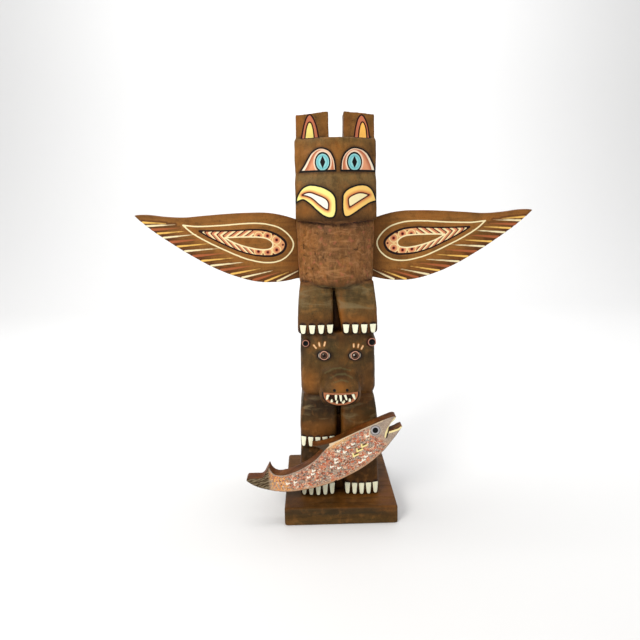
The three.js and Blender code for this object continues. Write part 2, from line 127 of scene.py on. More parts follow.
def edit(piece):
    """Goes into edit mode with everything picked."""
    take(piece)
    bpy.ops.object.mode_set(mode="EDIT")
    bpy.ops.mesh.select_all(action="SELECT")


def leave_edit():
    """Turns all faces outwards and leaves edit mode."""
    bpy.ops.mesh.select_all(action="SELECT")
    bpy.ops.mesh.normals_make_consistent(inside=False)
    bpy.ops.object.mode_set(mode="OBJECT")


def pick(piece, kind, wanted):
    """Picks the corners, edges or faces whose middle, in mm, passes the test."""
    bpy.ops.mesh.select_mode(type=kind)
    bpy.ops.mesh.select_all(action="DESELECT")
    mesh = bmesh.from_edit_mesh(piece.data)
    parts = {"VERT": mesh.verts, "EDGE": mesh.edges, "FACE": mesh.faces}[kind]
    for part in parts:
        corners = [part.co] if kind == "VERT" else [v.co for v in part.verts]
        middle = sum(corners, Vector()) / len(corners) / MM
        if wanted(middle):
            part.select_set(True)
    bmesh.update_edit_mesh(piece.data)


def shift(*step):
    """Moves what is picked, in mm."""
    bpy.ops.transform.translate(value=mm(*step))


def extrude(*step):
    """Draws the picked faces out, in mm."""
    bpy.ops.mesh.extrude_region_move(TRANSFORM_OT_translate={"value": mm(*step)})


def bevel(width, segments, kind="EDGES"):
    """Rounds or breaks what is picked by a width in mm."""
    bpy.ops.mesh.bevel(offset=width * MM, segments=segments, affect=kind)


def finish_with(piece, kind, **settings):
    """Adds a modifier with its settings and applies it."""
    take(piece)
    bpy.ops.object.modifier_add(type=kind)
    modifier = piece.modifiers[-1]
    for key, value in settings.items():
        setattr(modifier, key, value)
    bpy.ops.object.modifier_apply(modifier=modifier.name)


def make_skin(piece, voxel, rounds):
    """Remeshes a piece as one even skin and smooths it a little."""
    finish_with(piece, "REMESH", mode="VOXEL", voxel_size=voxel * MM, use_smooth_shade=True)
    finish_with(piece, "SMOOTH", factor=0.5, iterations=rounds)


def glue(name, pieces):
    """Joins pieces into the first one."""
    take(*pieces)
    bpy.ops.object.join()
    pieces[0].name = name
    pieces[0].data.name = name
    return pieces[0]


def cut(piece, cutter):
    """Takes the cutter's form out of a piece, and throws the cutter away."""
    finish_with(piece, "BOOLEAN", operation="DIFFERENCE", solver="EXACT", object=cutter)
    bpy.data.objects.remove(cutter, do_unlink=True)


def triangles(piece):
    return sum(len(face.vertices) - 2 for face in piece.data.polygons)


def saw_box(name, centre, sizes):
    """A plain box, in mm."""
    take()
    bpy.ops.mesh.primitive_cube_add(size=MM, location=mm(*centre), scale=sizes)
    return start_piece(name)


# %% [markdown]
# ## The floor and the light
# A sheet of pale card lies under the object and sweeps up behind it, as in a photo tent. One
# broad soft light stands at the front left, a weaker one at the right, and the white surroundings
# fill the shadows.

# %% Hang the card and the lights
FLOOR_HALF = 2.5
SWEEP_Y = 2.0
SWEEP_HEIGHT = 3.0
SWEEP_RADIUS = 1.0

take()
bpy.ops.mesh.primitive_plane_add(size=2 * FLOOR_HALF, location=(0, SWEEP_Y - FLOOR_HALF, 0))
floor = bpy.context.object
floor.name = "pale_card"
bpy.ops.object.transform_apply(location=True, rotation=False, scale=False)
edit(floor)
pick(floor, "EDGE", lambda p: p.y > SWEEP_Y / MM - 1)
bpy.ops.mesh.extrude_edges_move(TRANSFORM_OT_translate={"value": (0, 0, SWEEP_HEIGHT)})
pick(floor, "EDGE", lambda p: p.y > SWEEP_Y / MM - 1 and abs(p.z) < 1)
bpy.ops.mesh.bevel(offset=SWEEP_RADIUS, segments=16, affect="EDGES")
bpy.ops.object.mode_set(mode="OBJECT")
bpy.ops.object.shade_smooth()


def add_softbox(name, place, aim, size, power, colour):
    """A square area light at a place, turned to face another."""
    bpy.ops.object.light_add(type="AREA", location=place)
    lamp = bpy.context.object
    lamp.name = name
    lamp.data.shape = "SQUARE"
    lamp.data.size = size
    lamp.data.energy = power
    lamp.data.color = colour
    lamp.rotation_euler = (Vector(aim) - Vector(place)).to_track_quat("-Z", "Y").to_euler()


AIM = (0, 0, 0.22)
add_softbox("key_light", (-0.75, -0.95, 0.85), AIM, 0.5, 13, (1.0, 0.97, 0.92))
add_softbox("fill_light", (1.1, -0.9, 0.5), AIM, 0.9, 4, (0.95, 0.97, 1.0))
add_softbox("backdrop_light", (0, 0.35, 1.7), (0, 2.3, 0.5), 1.6, 34, (1, 1, 1))

world = bpy.data.worlds.new("white_room")
world.use_nodes = True
room = world.node_tree.nodes["Background"]
room.inputs["Color"].default_value = (1, 1, 1, 1)
room.inputs["Strength"].default_value = 0.62
bpy.context.scene.world = world
bpy.context.scene.view_settings.view_transform = "Standard"

# %% [markdown]
# ## The blocks of the log
# The carver divided the log into blocks with a saw: feet, paws, head, legs, chest, beak,
# forehead and horns. Each block has a flat back, a bowed front with rounded corners, and edges
# drawn in at its top and bottom. So one way of working makes them all: a flat plan is bowed and
# its corners rounded, and it is then extruded upwards row by row, each row resized about the
# block's back. A row says its share of the height, how far the sides are drawn in, and how far
# the front is drawn back, in millimetres.

# %% Carve one block
STRAIGHT_ROWS = [(0, 0, 0), (1, 0, 0)]
LOG_BACK = 34
BACK_CORNER = 7
PLAN_STEPS = 14


def carve_block(name, left, right, bottom, height, reach, rows, bow=0, corner=5, hold=None,
                back=LOG_BACK):
    """A block between two sides. One whose inner side stays straight is held at that side."""
    middle = (left + right) / 2
    half = (right - left) / 2
    take()
    bpy.ops.mesh.primitive_grid_add(
        x_subdivisions=PLAN_STEPS,
        y_subdivisions=2,
        size=MM,
        location=mm(middle, (back - reach) / 2, bottom),
    )
    bpy.ops.transform.resize(value=(right - left, back + reach, 1))
    piece = start_piece(name)
    edit(piece)
    for step in range(PLAN_STEPS + 1):
        x = left + (right - left) * step / PLAN_STEPS
        pick(piece, "VERT", lambda p: abs(p.x - x) < 0.01 and p.y < -reach + 0.01)
        sink = bow * ((x - middle) / half) ** 2
        shift(0, sink, 0)
    at_side = lambda p: abs(abs(p.x - middle) - half) < 0.01
    pick(piece, "VERT", lambda p: at_side(p) and p.y < (back - reach) / 2 - 0.01)
    bevel(min(corner, half * 0.6), 3, "VERTICES")
    pick(piece, "VERT", lambda p: at_side(p) and p.y > back - 0.01)
    bevel(min(BACK_CORNER, half * 0.6), 3, "VERTICES")
    bpy.ops.mesh.select_mode(type="FACE")
    bpy.ops.mesh.select_all(action="SELECT")
    sides = 2 if hold is None else 1
    centre_x = middle if hold is None else hold
    drawn = sunk = share = 0
    for next_share, next_drawn, next_sunk in rows:
        if next_share > 0:
            extrude(0, 0, (next_share - share) * height)
        across = (2 * half - sides * next_drawn) / (2 * half - sides * drawn)
        deep = (back + reach - next_sunk) / (back + reach - sunk)
        centre = mm(centre_x, back, bottom + next_share * height)
        bpy.ops.transform.resize(value=(across, deep, 1), center_override=centre)
        share, drawn, sunk = next_share, next_drawn, next_sunk
    leave_edit()
    return piece


def carve_pair(name, inner, outer, bottom, height, reach, rows, **shape):
    """A left and a right block, each held at the straight side beside the slot."""
    return [
        carve_block(name + "_l", -outer, -inner, bottom, height, reach, rows, hold=-inner, **shape),
        carve_block(name + "_r", inner, outer, bottom, height, reach, rows, hold=inner, **shape),
    ]


# %% [markdown]
# The bear stands on the plinth. Its two feet and two arms are narrow blocks on either side of a
# slot, with the belly set back between them.

# %% Carve the bear's body
LOG_FOOT = 17.8
ARM_FOOT = 71.8
HEAD_FOOT = 124.8
BIRD_FOOT = 189.5
CHEST_FOOT = 239.1
BEAK_FOOT = 304.3
BROW_FOOT = 349.5
HORN_FOOT = 386.3
HORN_TOP = 413.7

FOOT_ROWS = [(0, 0.8, 1), (0.03, 0, 0), (0.27, 0, 0), (0.31, 0, 0.9), (0.62, 0.3, 1.6), (0.84, 0.8, 4.5),
             (1, 1.4, 10.5)]
ARM_ROWS = [(0, 0.9, 1.6), (0.03, 0.1, 0.2), (0.42, 0, 0), (0.48, 0, 0.9), (0.68, 0.7, 2.6),
            (0.86, 2.2, 5.5), (1, 4, 9)]

bear_feet = carve_pair("foot", 4.8, 41.2, LOG_FOOT, 46.5, 34.3, FOOT_ROWS, bow=2.5)
bear_arms = carve_pair("arm", 2.4, 40.2, ARM_FOOT, 54, 38.3, ARM_ROWS, bow=3.5, corner=6)
belly = carve_block("belly", -39.9, 39.9, LOG_FOOT + 0.8, 81, 23, [(0, 0.4, 0), (0.6, 0, 0), (1, 1.6, 1)],
                    bow=3)
print("bear's body:", len(bear_feet) + len(bear_arms) + 1, "blocks")

# %% [markdown]
# The bear's head is one wide block, and its snout another, that bulges forward and runs out
# into the face above. The open mouth is a shallow recess that follows the snout's round front:
# an upright form with the mouth's outline, less a copy of the snout that stands back a little.

# %% Carve the bear's head
HEAD_ROWS = [(0, 2.4, 4), (0.03, 1, 1.8), (0.09, 0.3, 0.6), (0.36, 0, 0), (0.74, 0.2, 1), (0.9, 0.6, 3),
             (1, 1.2, 5)]
SNOUT_ROWS = [(0, 6.5, 10), (0.05, 3.6, 6.2), (0.15, 1.3, 3), (0.28, 0.1, 1.2), (0.43, 0, 0),
              (0.55, 0.8, 1.2), (0.67, 2.2, 5), (0.8, 4.6, 10.5), (0.91, 7.6, 15.5), (1, 11.5, 20.5)]
HEAD_HALF = 38.9
HEAD_REACH = 38
HEAD_BOW = 8
SNOUT_FOOT = HEAD_FOOT - 6.4
SNOUT_HALF = 21.5
SNOUT_HEIGHT = 39
SNOUT_REACH = 56.5
SNOUT_BOW = 5
FACE_X = 1
MOUTH_TOP = HEAD_FOOT + 8
MOUTH_HALF = 17.2
MOUTH_HEIGHT = 12.4
MOUTH_DEPTH = 3.2
LIP = 2.0

bear_head = carve_block("bear_head", -HEAD_HALF, HEAD_HALF, HEAD_FOOT, 65.5, HEAD_REACH, HEAD_ROWS,
                        bow=HEAD_BOW, corner=7)


def carve_snout(name, reach):
    return carve_block(name, FACE_X - SNOUT_HALF, FACE_X + SNOUT_HALF, SNOUT_FOOT, SNOUT_HEIGHT, reach,
                       SNOUT_ROWS, bow=SNOUT_BOW, corner=9, back=0)


snout = carve_snout("snout", SNOUT_REACH)
snout_core = carve_snout("snout_core", SNOUT_REACH - MOUTH_DEPTH)

take()
bpy.ops.mesh.primitive_circle_add(
    vertices=32, radius=MM, fill_type="NGON", location=mm(FACE_X, 0, MOUTH_TOP),
    rotation=(math.pi / 2, 0, 0))
bpy.ops.transform.resize(value=(MOUTH_HALF - LIP, 1, MOUTH_HEIGHT - LIP))
mouth = start_piece("mouth")
edit(mouth)
pick(mouth, "VERT", lambda p: p.z > MOUTH_TOP + 0.01)
bpy.ops.transform.resize(value=(1, 1, 0.02), center_override=mm(0, 0, MOUTH_TOP))
bpy.ops.mesh.select_all(action="SELECT")
extrude(0, -60, 0)
leave_edit()
cut(mouth, snout_core)
cut(snout, mouth)
print("snout:", len(snout.data.polygons), "faces")

# %% [markdown]
# Round ears stand out at the head's corners, the eyes are low flattened balls, and the nostrils
# are two small drilled holes.

# %% Add ears and eyes, and drill the nostrils
EAR_Z = 179.7
EAR_FRONT = -34
EYE_Z = 167.2
EYE_SPREAD = 15.8
NOSTRIL_Z = 137.6
NOSTRIL_SPREAD = 6.3


def turn_peg(name, x, z, front, back, radius, tip_radius, sides=24):
    """A round peg that lies along Y, with its front end narrower."""
    take()
    bpy.ops.mesh.primitive_cone_add(
        vertices=sides, radius1=tip_radius * MM, radius2=radius * MM, depth=(back - front) * MM,
        location=mm(x, (front + back) / 2, z), rotation=(-math.pi / 2, 0, 0))
    return start_piece(name)


def shape_ear(name, x, radius):
    ear = turn_peg(name, x, EAR_Z, EAR_FRONT, -18, radius, radius * 0.9)
    edit(ear)
    pick(ear, "FACE", lambda p: p.y < EAR_FRONT + 0.01)
    bpy.ops.mesh.inset(thickness=radius * 0.3 * MM, depth=0)
    bpy.ops.mesh.inset(thickness=radius * 0.18 * MM, depth=-1.8 * MM)
    leave_edit()
    return ear


def shape_eye(name, side):
    take()
    x = FACE_X + side * EYE_SPREAD
    front = -HEAD_REACH + HEAD_BOW * (x / HEAD_HALF) ** 2
    bpy.ops.mesh.primitive_uv_sphere_add(
        segments=24, ring_count=12, radius=MM, location=mm(x, front + 1.6, EYE_Z),
        scale=(6.6, 2.8, 4.8))
    return start_piece(name)


EARS = ((-33.2, 4.3), (34.8, 5.1))

ears = [shape_ear(name, x, radius) for name, (x, radius) in zip(("ear_l", "ear_r"), EARS)]
eyes = [shape_eye("eye_l", -1), shape_eye("eye_r", 1)]
for side in (-1, 1):
    cut(snout, turn_peg("drill", FACE_X + side * NOSTRIL_SPREAD, NOSTRIL_Z, -60, -51, 1.3, 1.3, 12))
print("ears and eyes:", len(ears) + len(eyes))

# %% [markdown]
# The bird sits on the bear's head: two legs with a slot between them that leans a little, a
# broad chest, a beak that stands forward over it, a forehead, and two horns beside a notch.

# %% Carve the bird
SHIN_ROWS = [(0, 1.8, 1.8), (0.03, 0.4, 0.3), (0.07, 0, 0), (0.22, 0, 0), (0.26, 0, 0.9), (0.5, 0.5, 1.2),
             (0.72, 1.5, 3.6), (0.9, 2.4, 7.5), (1, 2.9, 11)]
CHEST_ROWS = [(0, 3.3, 4), (0.03, 2.6, 1.6), (0.12, 2.2, 0.2), (0.4, 1.5, 0), (0.8, 0.5, 0.4), (1, 0, 2.4)]
BEAK_ROWS = [(0, 0.5, 2.2), (0.05, 0, 0.4), (0.2, 0, 0), (0.6, 0, 0), (0.86, 0, 1.4), (1, 0.5, 3.4)]
BROW_ROWS = [(0, 0.8, 0.6), (0.2, 0.3, 0.2), (0.6, 0, 0), (0.94, 0.1, 0), (1, 0.9, 1.2)]
SLOT_LEAN = 8.2
SHIN_HEIGHT = 51.6
CHEST_HALF = 41.4
CHEST_HEIGHT = 66
CHEST_REACH = 40
CHEST_BOW = 27
BEAK_HALF = 41.1
BEAK_BOW = 15

shins = carve_pair("shin", 4.6, 40.9, BIRD_FOOT, SHIN_HEIGHT, 38.5, SHIN_ROWS, bow=2.5)
edit(shins[1])
for share, _, _ in SHIN_ROWS[1:]:
    level = BIRD_FOOT + SHIN_HEIGHT * share
    pick(shins[1], "VERT", lambda p: abs(p.z - level) < 0.01 and p.x < 10)
    shift(-SLOT_LEAN * share, 0, 0)
leave_edit()


def let_dip(block, foot, depth):
    """Draws the front of a block's lower edge down in its middle, as a soft pull on one corner."""
    edit(block)
    pick(block, "VERT", lambda p: p.z < foot + 0.01 and abs(p.x) < 3 and p.y < -20)
    bpy.ops.transform.translate(
        value=mm(0, 0, -depth), use_proportional_edit=True,
        proportional_edit_falloff="SMOOTH", proportional_size=38 * MM)
    leave_edit()


chest = carve_block("chest", -CHEST_HALF, CHEST_HALF, CHEST_FOOT, CHEST_HEIGHT, CHEST_REACH, CHEST_ROWS,
                    bow=CHEST_BOW)
let_dip(chest, CHEST_FOOT, 2.6)
beak = carve_block("beak", -BEAK_HALF, BEAK_HALF, BEAK_FOOT, 46, 46.5, BEAK_ROWS, bow=BEAK_BOW, corner=3)
let_dip(beak, BEAK_FOOT, 3.2)
brow = carve_block("brow", -41.2, 41.2, BROW_FOOT, 36.8, 42.5, BROW_ROWS, bow=14, corner=3)

HORN_FRONT = -27
HORN_BACK = -5
HORN_OUTER = 39.4
HORN_FALL = 3.6


def saw_horn(name, side):
    """A board with a level top beside the notch that falls away outwards."""
    inner = 7.3 + side
    horn = saw_box(name, (side * (inner + HORN_OUTER) / 2, (HORN_FRONT + HORN_BACK) / 2, HORN_FOOT + 12.7),
                   (HORN_OUTER - inner, HORN_BACK - HORN_FRONT, HORN_TOP - HORN_FOOT + 2))
    edit(horn)
    top = HORN_FOOT + 20
    pick(horn, "VERT", lambda p: p.z > top and abs(p.x) > 35)
    shift(0, 0, -HORN_FALL)
    pick(horn, "VERT", lambda p: p.z > top and abs(p.x) < 12)
    shift(side * 0.4, 0, 0)
    leave_edit()
    return horn


horns = [saw_horn("horn_l", -1), saw_horn("horn_r", 1)]
core = carve_block("core", -34.5, 34.5, LOG_FOOT, BROW_FOOT - LOG_FOOT, 19, STRAIGHT_ROWS)
print("bird:", len(shins) + len(horns) + 3, "blocks")

# %% [markdown]
# Slits part the toes. One wedge is made for each and taken out of its block, before all the
# blocks are joined.

# %% Cut the slits between the toes
CLAW_ROWS = [
    # The bird's claws, then those of the bear's paws and feet
    dict(blocks=shins, outer=35.6, inner=8, count=4, top=199.3, width=6.3, height=8.6, front=-38.5,
         bow=2.5),
    dict(blocks=bear_arms, outer=37.1, inner=7.5, count=5, top=82.6, width=5.1, height=9.4, front=-38.3,
         bow=3.5),
    dict(blocks=bear_feet, outer=37.4, inner=7.9, count=5, top=30.2, width=5.5, height=11.3, front=-34.3,
         bow=2.5),
]
SLIT_DEPTH = 2.4
WEDGE_BELOW = 2.5
WEDGE_FLARE = 1.6


def toe_places(row, side):
    """The X of each claw of a row, and the Y of the wood under it."""
    share = np.linspace(0, 1, row["count"])
    xs = side * (row["outer"] + (row["inner"] - row["outer"]) * share)
    middle = side * (row["outer"] + row["inner"]) / 2
    half = (row["outer"] - row["inner"]) / 2 + row["width"] / 2
    return [(x, row["front"] + row["bow"] * ((x - middle) / half) ** 2) for x in xs]


def cut_slits(row, side, block):
    toes = toe_places(row, side)
    pitch = abs(toes[1][0] - toes[0][0])
    slit_half = (pitch - row["width"]) / 2 + 0.5
    for (x0, y0), (x1, y1) in zip(toes, toes[1:]):
        x, y = (x0 + x1) / 2, (y0 + y1) / 2
        length = row["height"] + WEDGE_BELOW
        foot = row["top"] - row["height"] - WEDGE_BELOW
        take()
        bpy.ops.mesh.primitive_cone_add(
            vertices=4, radius1=slit_half * WEDGE_FLARE * MM, radius2=0.1 * MM, depth=length * MM,
            location=mm(x, y, foot + length / 2), scale=(1, SLIT_DEPTH / slit_half / WEDGE_FLARE, 1))
        cut(block, start_piece("wedge"))


for row in CLAW_ROWS:
    for side, block in zip((-1, 1), row["blocks"]):
        cut_slits(row, side, block)
print("slits cut in", sum(len(row["blocks"]) for row in CLAW_ROWS), "blocks")

# %% [markdown]
# The blocks are one log, so they are joined into one skin by a voxel remesh, which leaves no
# inner walls. A light smoothing then rounds every sawn edge, as sanding does, and a second,
# stronger one works only where the snout runs out into the face.

# %% Make the blocks one log
LOG_VOXEL = 1.0
BLEND_ROUNDS = 110

log_blocks = [core, belly, *bear_feet, *bear_arms, bear_head, snout, *ears, *eyes, *shins, chest, beak,
              brow, *horns]
pole = glue("carved_pole", log_blocks)
make_skin(pole, LOG_VOXEL, 3)
print("log:", triangles(pole), "triangles")


def corner_places(piece):
    """All vertices of a piece in mm, as one array."""
    flat = np.empty(len(piece.data.vertices) * 3)
    piece.data.vertices.foreach_get("co", flat)
    return flat.reshape(-1, 3) / MM


def mark_area(piece, name, weights):
    """A vertex group that holds a weight for each vertex, in ten steps."""
    group = piece.vertex_groups.new(name=name)
    steps = np.round(weights * 10).astype(int)
    for step in range(1, 11):
        chosen = np.nonzero(steps == step)[0].tolist()
        if chosen:
            group.add(chosen, step / 10, "REPLACE")


def soft_step(low, high, values):
    share = np.clip((values - low) / (high - low), 0, 1)
    return share * share * (3 - 2 * share)


RIM_CENTRE_Z = 139
RIM_RADIUS = 24

x, y, z = corner_places(pole).T
around = np.hypot((x - FACE_X) / RIM_RADIUS, (z - RIM_CENTRE_Z) / RIM_RADIUS)
in_front = soft_step(-25, -31, y)
above_mouth = np.maximum(soft_step(136, 146, z),
                         soft_step(17.5, 20, np.abs(x - FACE_X)) * soft_step(127, 134, z))
snout_rim = in_front * soft_step(0.62, 0.8, around) * soft_step(1.45, 1.1, around) * above_mouth
mark_area(pole, "snout_rim", snout_rim)
finish_with(pole, "SMOOTH", factor=0.9, iterations=BLEND_ROUNDS, vertex_group="snout_rim")
print("snout blended")

# %% [markdown]
# Claws and teeth are left standing out of the wood and painted ivory. One claw is modelled, with
# a narrower round tip and softened front edges, and each other claw or tooth is a copy of it
# with its own size, place and lean.

# %% Model one claw and copy it
CLAW_DEPTH = 5
CLAW_PROUD = 1.2

first_claw = saw_box("claw", (0, CLAW_DEPTH / 2, -0.5), (1, CLAW_DEPTH, 1))
edit(first_claw)
pick(first_claw, "VERT", lambda p: p.z < -0.9)
bpy.ops.transform.resize(value=(0.62, 1, 1), center_override=(0, 0, 0))
pick(first_claw, "EDGE", lambda p: p.z < -0.9 and 1 < p.y < 4)
bevel(0.2, 4)
pick(first_claw, "FACE", lambda p: p.y < 0.01)
bevel(0.12, 3)
leave_edit()


def copy_claw(x, y, z, width, height, turn=0.0, lean=0.0):
    """A claw that hangs from a place, turned about the upright and leaning over."""
    take(first_claw)
    bpy.ops.object.duplicate(linked=False)
    claw = bpy.context.object
    claw.scale = (width, 1, height)
    claw.rotation_euler = (0, lean, turn)
    claw.location = mm(x, y, z)
    bpy.ops.object.transform_apply(location=True, rotation=True, scale=True)
    return claw


claws = []
for row in CLAW_ROWS:
    half = (row["outer"] - row["inner"]) / 2 + row["width"] / 2
    for side in (-1, 1):
        middle = side * (row["outer"] + row["inner"]) / 2
        for x, y in toe_places(row, side):
            slope = math.atan(2 * row["bow"] * (x - middle) / half**2)
            claws.append(copy_claw(x, y - CLAW_PROUD, row["top"], row["width"], row["height"],
                                   turn=slope))
print("claws:", len(claws))

# %% Set the teeth
# X from the face's middle, Z of the wide end, width, height and lean of each tooth
UPPER_TEETH = [(-12.5, 133.2, 2.8, 6, 0.3), (-4.9, 133.2, 2.5, 5.8, 0), (-0.5, 133.2, 2.6, 6.9, -0.1),
               (3.9, 133.2, 2.5, 6.2, -0.32), (12, 133.2, 2.6, 6.4, -0.36)]
LOWER_TEETH = [(-9.2, 124.7, 2.2, 2.7, math.pi), (-4.2, 123.5, 1.9, 3.1, math.pi + 0.27),
               (1.7, 123.6, 2.1, 3.3, math.pi + 0.75), (8.9, 125.0, 2.2, 2.9, math.pi + 0.15)]


def snout_front(x, z):
    """The Y of the snout's front at a place on it."""
    share = (z - SNOUT_FOOT) / SNOUT_HEIGHT
    sunk = np.interp(share, [row[0] for row in SNOUT_ROWS], [row[2] for row in SNOUT_ROWS])
    return -SNOUT_REACH + sunk + SNOUT_BOW * ((x - FACE_X) / SNOUT_HALF) ** 2


teeth = []
for x, z, width, height, lean in UPPER_TEETH + LOWER_TEETH:
    middle_z = z - math.cos(lean) * height / 2
    y = snout_front(FACE_X + x, middle_z) + 0.3
    teeth.append(copy_claw(FACE_X + x, y, z, width, height, turn=x * 0.02, lean=lean))
bpy.data.objects.remove(first_claw, do_unlink=True)
print("teeth:", len(teeth))

# %% [markdown]
# A hand-carved log isn't flat. A soft noise moves its skin in and out by a few tenths of a
# millimetre, and a second one, stretched along the log, leaves the long shallow marks of a
# gouge. The remeshed skin is then thinned out where it is flat.

# %% Leave tool marks on the log
def rough_up(piece, name, size, depth, stretch=(1, 1, 1)):
    """Moves the skin by a cloud noise that is stretched along each axis."""
    take()
    bpy.ops.object.empty_add(location=(0, 0, 0))
    guide = bpy.context.object
    guide.scale = stretch
    bpy.context.view_layer.update()
    clouds = bpy.data.textures.new(name, "CLOUDS")
    clouds.noise_scale = size * MM
    clouds.noise_depth = 2
    finish_with(piece, "DISPLACE", texture=clouds, texture_coords="OBJECT", texture_coords_object=guide,
                strength=depth * MM, mid_level=0.5)
    bpy.data.objects.remove(guide, do_unlink=True)
    bpy.data.textures.remove(clouds)


rough_up(pole, "hand_carving", 14, 0.8)
rough_up(pole, "gouge_marks", 3, 0.35, stretch=(1, 1, 7))

# The painted faces keep their fine skin, so that brushed edges stay crisp, and the rest is thinned
LOG_LIMIT = 175000
BEAR_FACE_FOOT = 120
BEAR_FACE_TOP = 188
BIRD_FACE_FOOT = 304

x, y, z = corner_places(pole).T
in_front = y < -15
on_faces = in_front & ((z > BIRD_FACE_FOOT) | ((z > BEAR_FACE_FOOT) & (z < BEAR_FACE_TOP)))
mark_area(pole, "painted_faces", on_faces.astype(float))
finish_with(pole, "DECIMATE", ratio=min(1, LOG_LIMIT / triangles(pole)), vertex_group="painted_faces",
            invert_vertex_group=True)
pole.vertex_groups.clear()
print("log:", triangles(pole), "triangles")

# %% [markdown]
# ## The plinth
# A square of the same wood with its corners and edges just broken.

# %% Cut the plinth
BASE_SIDE = 114
BASE_HEIGHT = 17.5

plinth = saw_box("stained_plinth", (0, 0, BASE_HEIGHT / 2), (BASE_SIDE, BASE_SIDE, BASE_HEIGHT))
edit(plinth)
pick(plinth, "EDGE", lambda p: abs(p.z - BASE_HEIGHT / 2) < 0.01)
bevel(2.5, 4)
pick(plinth, "EDGE", lambda p: abs(p.z - BASE_HEIGHT / 2) > BASE_HEIGHT / 2 - 0.01)
bevel(0.9, 3)
leave_edit()
make_skin(plinth, 1.1, 1)
print("plinth:", triangles(plinth), "triangles")

# %% [markdown]
# ## The boards: wings and salmon
# Wings and salmon are sawn from flat board. Their outline is drawn as a curve through few
# points, filled, and extruded to the board's thickness. Finely remeshed, the board can carry
# the painted lines, and its sawn edges round off.


# %% Saw a board along an outline
def saw_board(name, outline, front, back, sharp=(), voxel=1.0):
    """A board between two depths. Points numbered in sharp are corners, the others are smooth."""
    take()
    bpy.ops.curve.primitive_bezier_curve_add(location=(0, 0, 0))
    drawn = bpy.context.object
    spline = drawn.data.splines[0]
    spline.bezier_points.add(len(outline) - 2)
    for number, (point, (x, z)) in enumerate(zip(spline.bezier_points, outline)):
        point.co = mm(x, front, z)
        kind = "VECTOR" if number in sharp else "AUTO"
        point.handle_left_type = point.handle_right_type = kind
    spline.use_cyclic_u = True
    drawn.data.dimensions = "3D"
    drawn.data.resolution_u = 6
    bpy.ops.object.convert(target="MESH")
    board = start_piece(name)
    edit(board)
    bpy.ops.mesh.remove_doubles(threshold=0.01 * MM)
    bpy.ops.mesh.edge_face_add()
    extrude(0, back - front, 0)
    leave_edit()
    make_skin(board, voxel, 2)
    return board


WING_FRONT = -2
WING_BACK = 10
WING_TOP = [(35.5, 305.8), (41.4, 305.8), (54.3, 309.9), (70.6, 313.1), (90.4, 313.7), (115.3, 312.8),
            (140.2, 311.1), (161.7, 309.6), (182.3, 310.7), (202.9, 313.1), (213.2, 312.7)]
WING_BOTTOM = [(208, 307.7), (196, 297.5), (175.4, 282.7), (149.6, 266.2), (125.6, 253.2), (104.1, 244.7),
               (84.4, 239.6), (68.9, 238.7), (53.4, 239.9), (41.4, 242.4), (35.5, 242.4)]
WING_OUTLINE = WING_TOP + WING_BOTTOM
WING_SHARP = (0, 1, len(WING_TOP) - 1, len(WING_OUTLINE) - 2, len(WING_OUTLINE) - 1)

wings = []
for side, name in ((-1, "painted_wing_left"), (1, "painted_wing_right")):
    wing = saw_board(name, [(side * x, z) for x, z in WING_OUTLINE], WING_FRONT, WING_BACK, WING_SHARP)
    wings.append(wing)
print("wings:", [triangles(w) for w in wings])

# %% [markdown]
# The wing's root follows the log's side, so copies of the chest and of the beak's foot, a hair
# wider, are cut out of it.

# %% Fit the wings to the log
JOINT_GAP = 0.3

for wing in wings:
    side = CHEST_HALF + JOINT_GAP
    cut(wing, carve_block("chest_copy", -side, side, CHEST_FOOT, CHEST_HEIGHT, CHEST_REACH, CHEST_ROWS,
                          bow=CHEST_BOW))
    side = BEAK_HALF + JOINT_GAP
    cut(wing, carve_block("beak_copy", -side, side, BEAK_FOOT, 20, 40, STRAIGHT_ROWS, bow=BEAK_BOW))
print("wings fitted")

# %% Saw the salmon
FISH_TILT = math.radians(21.5)
FISH_TAIL = (-95.4, 45.1)
FISH_FRONT = -51.8
FISH_BACK = -39.8
FISH_OUTLINE = [(0, 0), (5, -7.4), (16.5, -17.3), (33, -26.7), (56.1, -33), (80, -35.8), (99, -35.3),
                (118.8, -32.2), (137.8, -25.9), (151.8, -18.3), (162.5, -11.7), (166.4, -8.8),
                (163.8, -8.4), (157.6, -9), (150.6, -8.5), (153, -5), (156.7, -1.6), (162.5, 1),
                (164.4, 2.6), (162.6, 4.4), (156.7, 5.1), (146, 5), (127.9, 4.6), (108.9, 3.6), (96.5, 3.3),
                (85.8, 4.6), (74.3, 7.3), (80, 3.3), (83.3, -1.3), (75.9, -5.4), (66.8, -8.3),
                (52.8, -10.2), (38.8, -9.4), (30.5, -5.9), (27.7, -0.7), (27.6, 5.3), (22.3, 0.7),
                (16.5, -3.3), (9.1, -1), (2.8, 1.5)]
FISH_SHARP = (0, 11, 14, 18, 26, 28, 35, 39)


def from_fish(along, up):
    """A place on the salmon, in mm along it from the tail's tip and up from it, as X and Z."""
    x = FISH_TAIL[0] + along * math.cos(FISH_TILT) - up * math.sin(FISH_TILT)
    z = FISH_TAIL[1] + along * math.sin(FISH_TILT) + up * math.cos(FISH_TILT)
    return x, z


salmon = saw_board(
    "painted_salmon", [from_fish(*p) for p in FISH_OUTLINE], FISH_FRONT, FISH_BACK, FISH_SHARP, voxel=0.8)
print("salmon:", triangles(salmon), "triangles")

# %% [markdown]
# ## Painting by distance
# All painted lines on the real carving are flush brush lines. Each painted outline is kept as a
# few points. For every vertex of a piece the distance to the outline is measured, negative
# inside, and stored with the mesh. A material can then draw a line, a border or a filled form of
# any width from that one distance, and the line stays crisp between the vertices.

# %% Helpers for painted outlines
FAR = 50.0


def nearest(*distances):
    return np.minimum.reduce(distances)


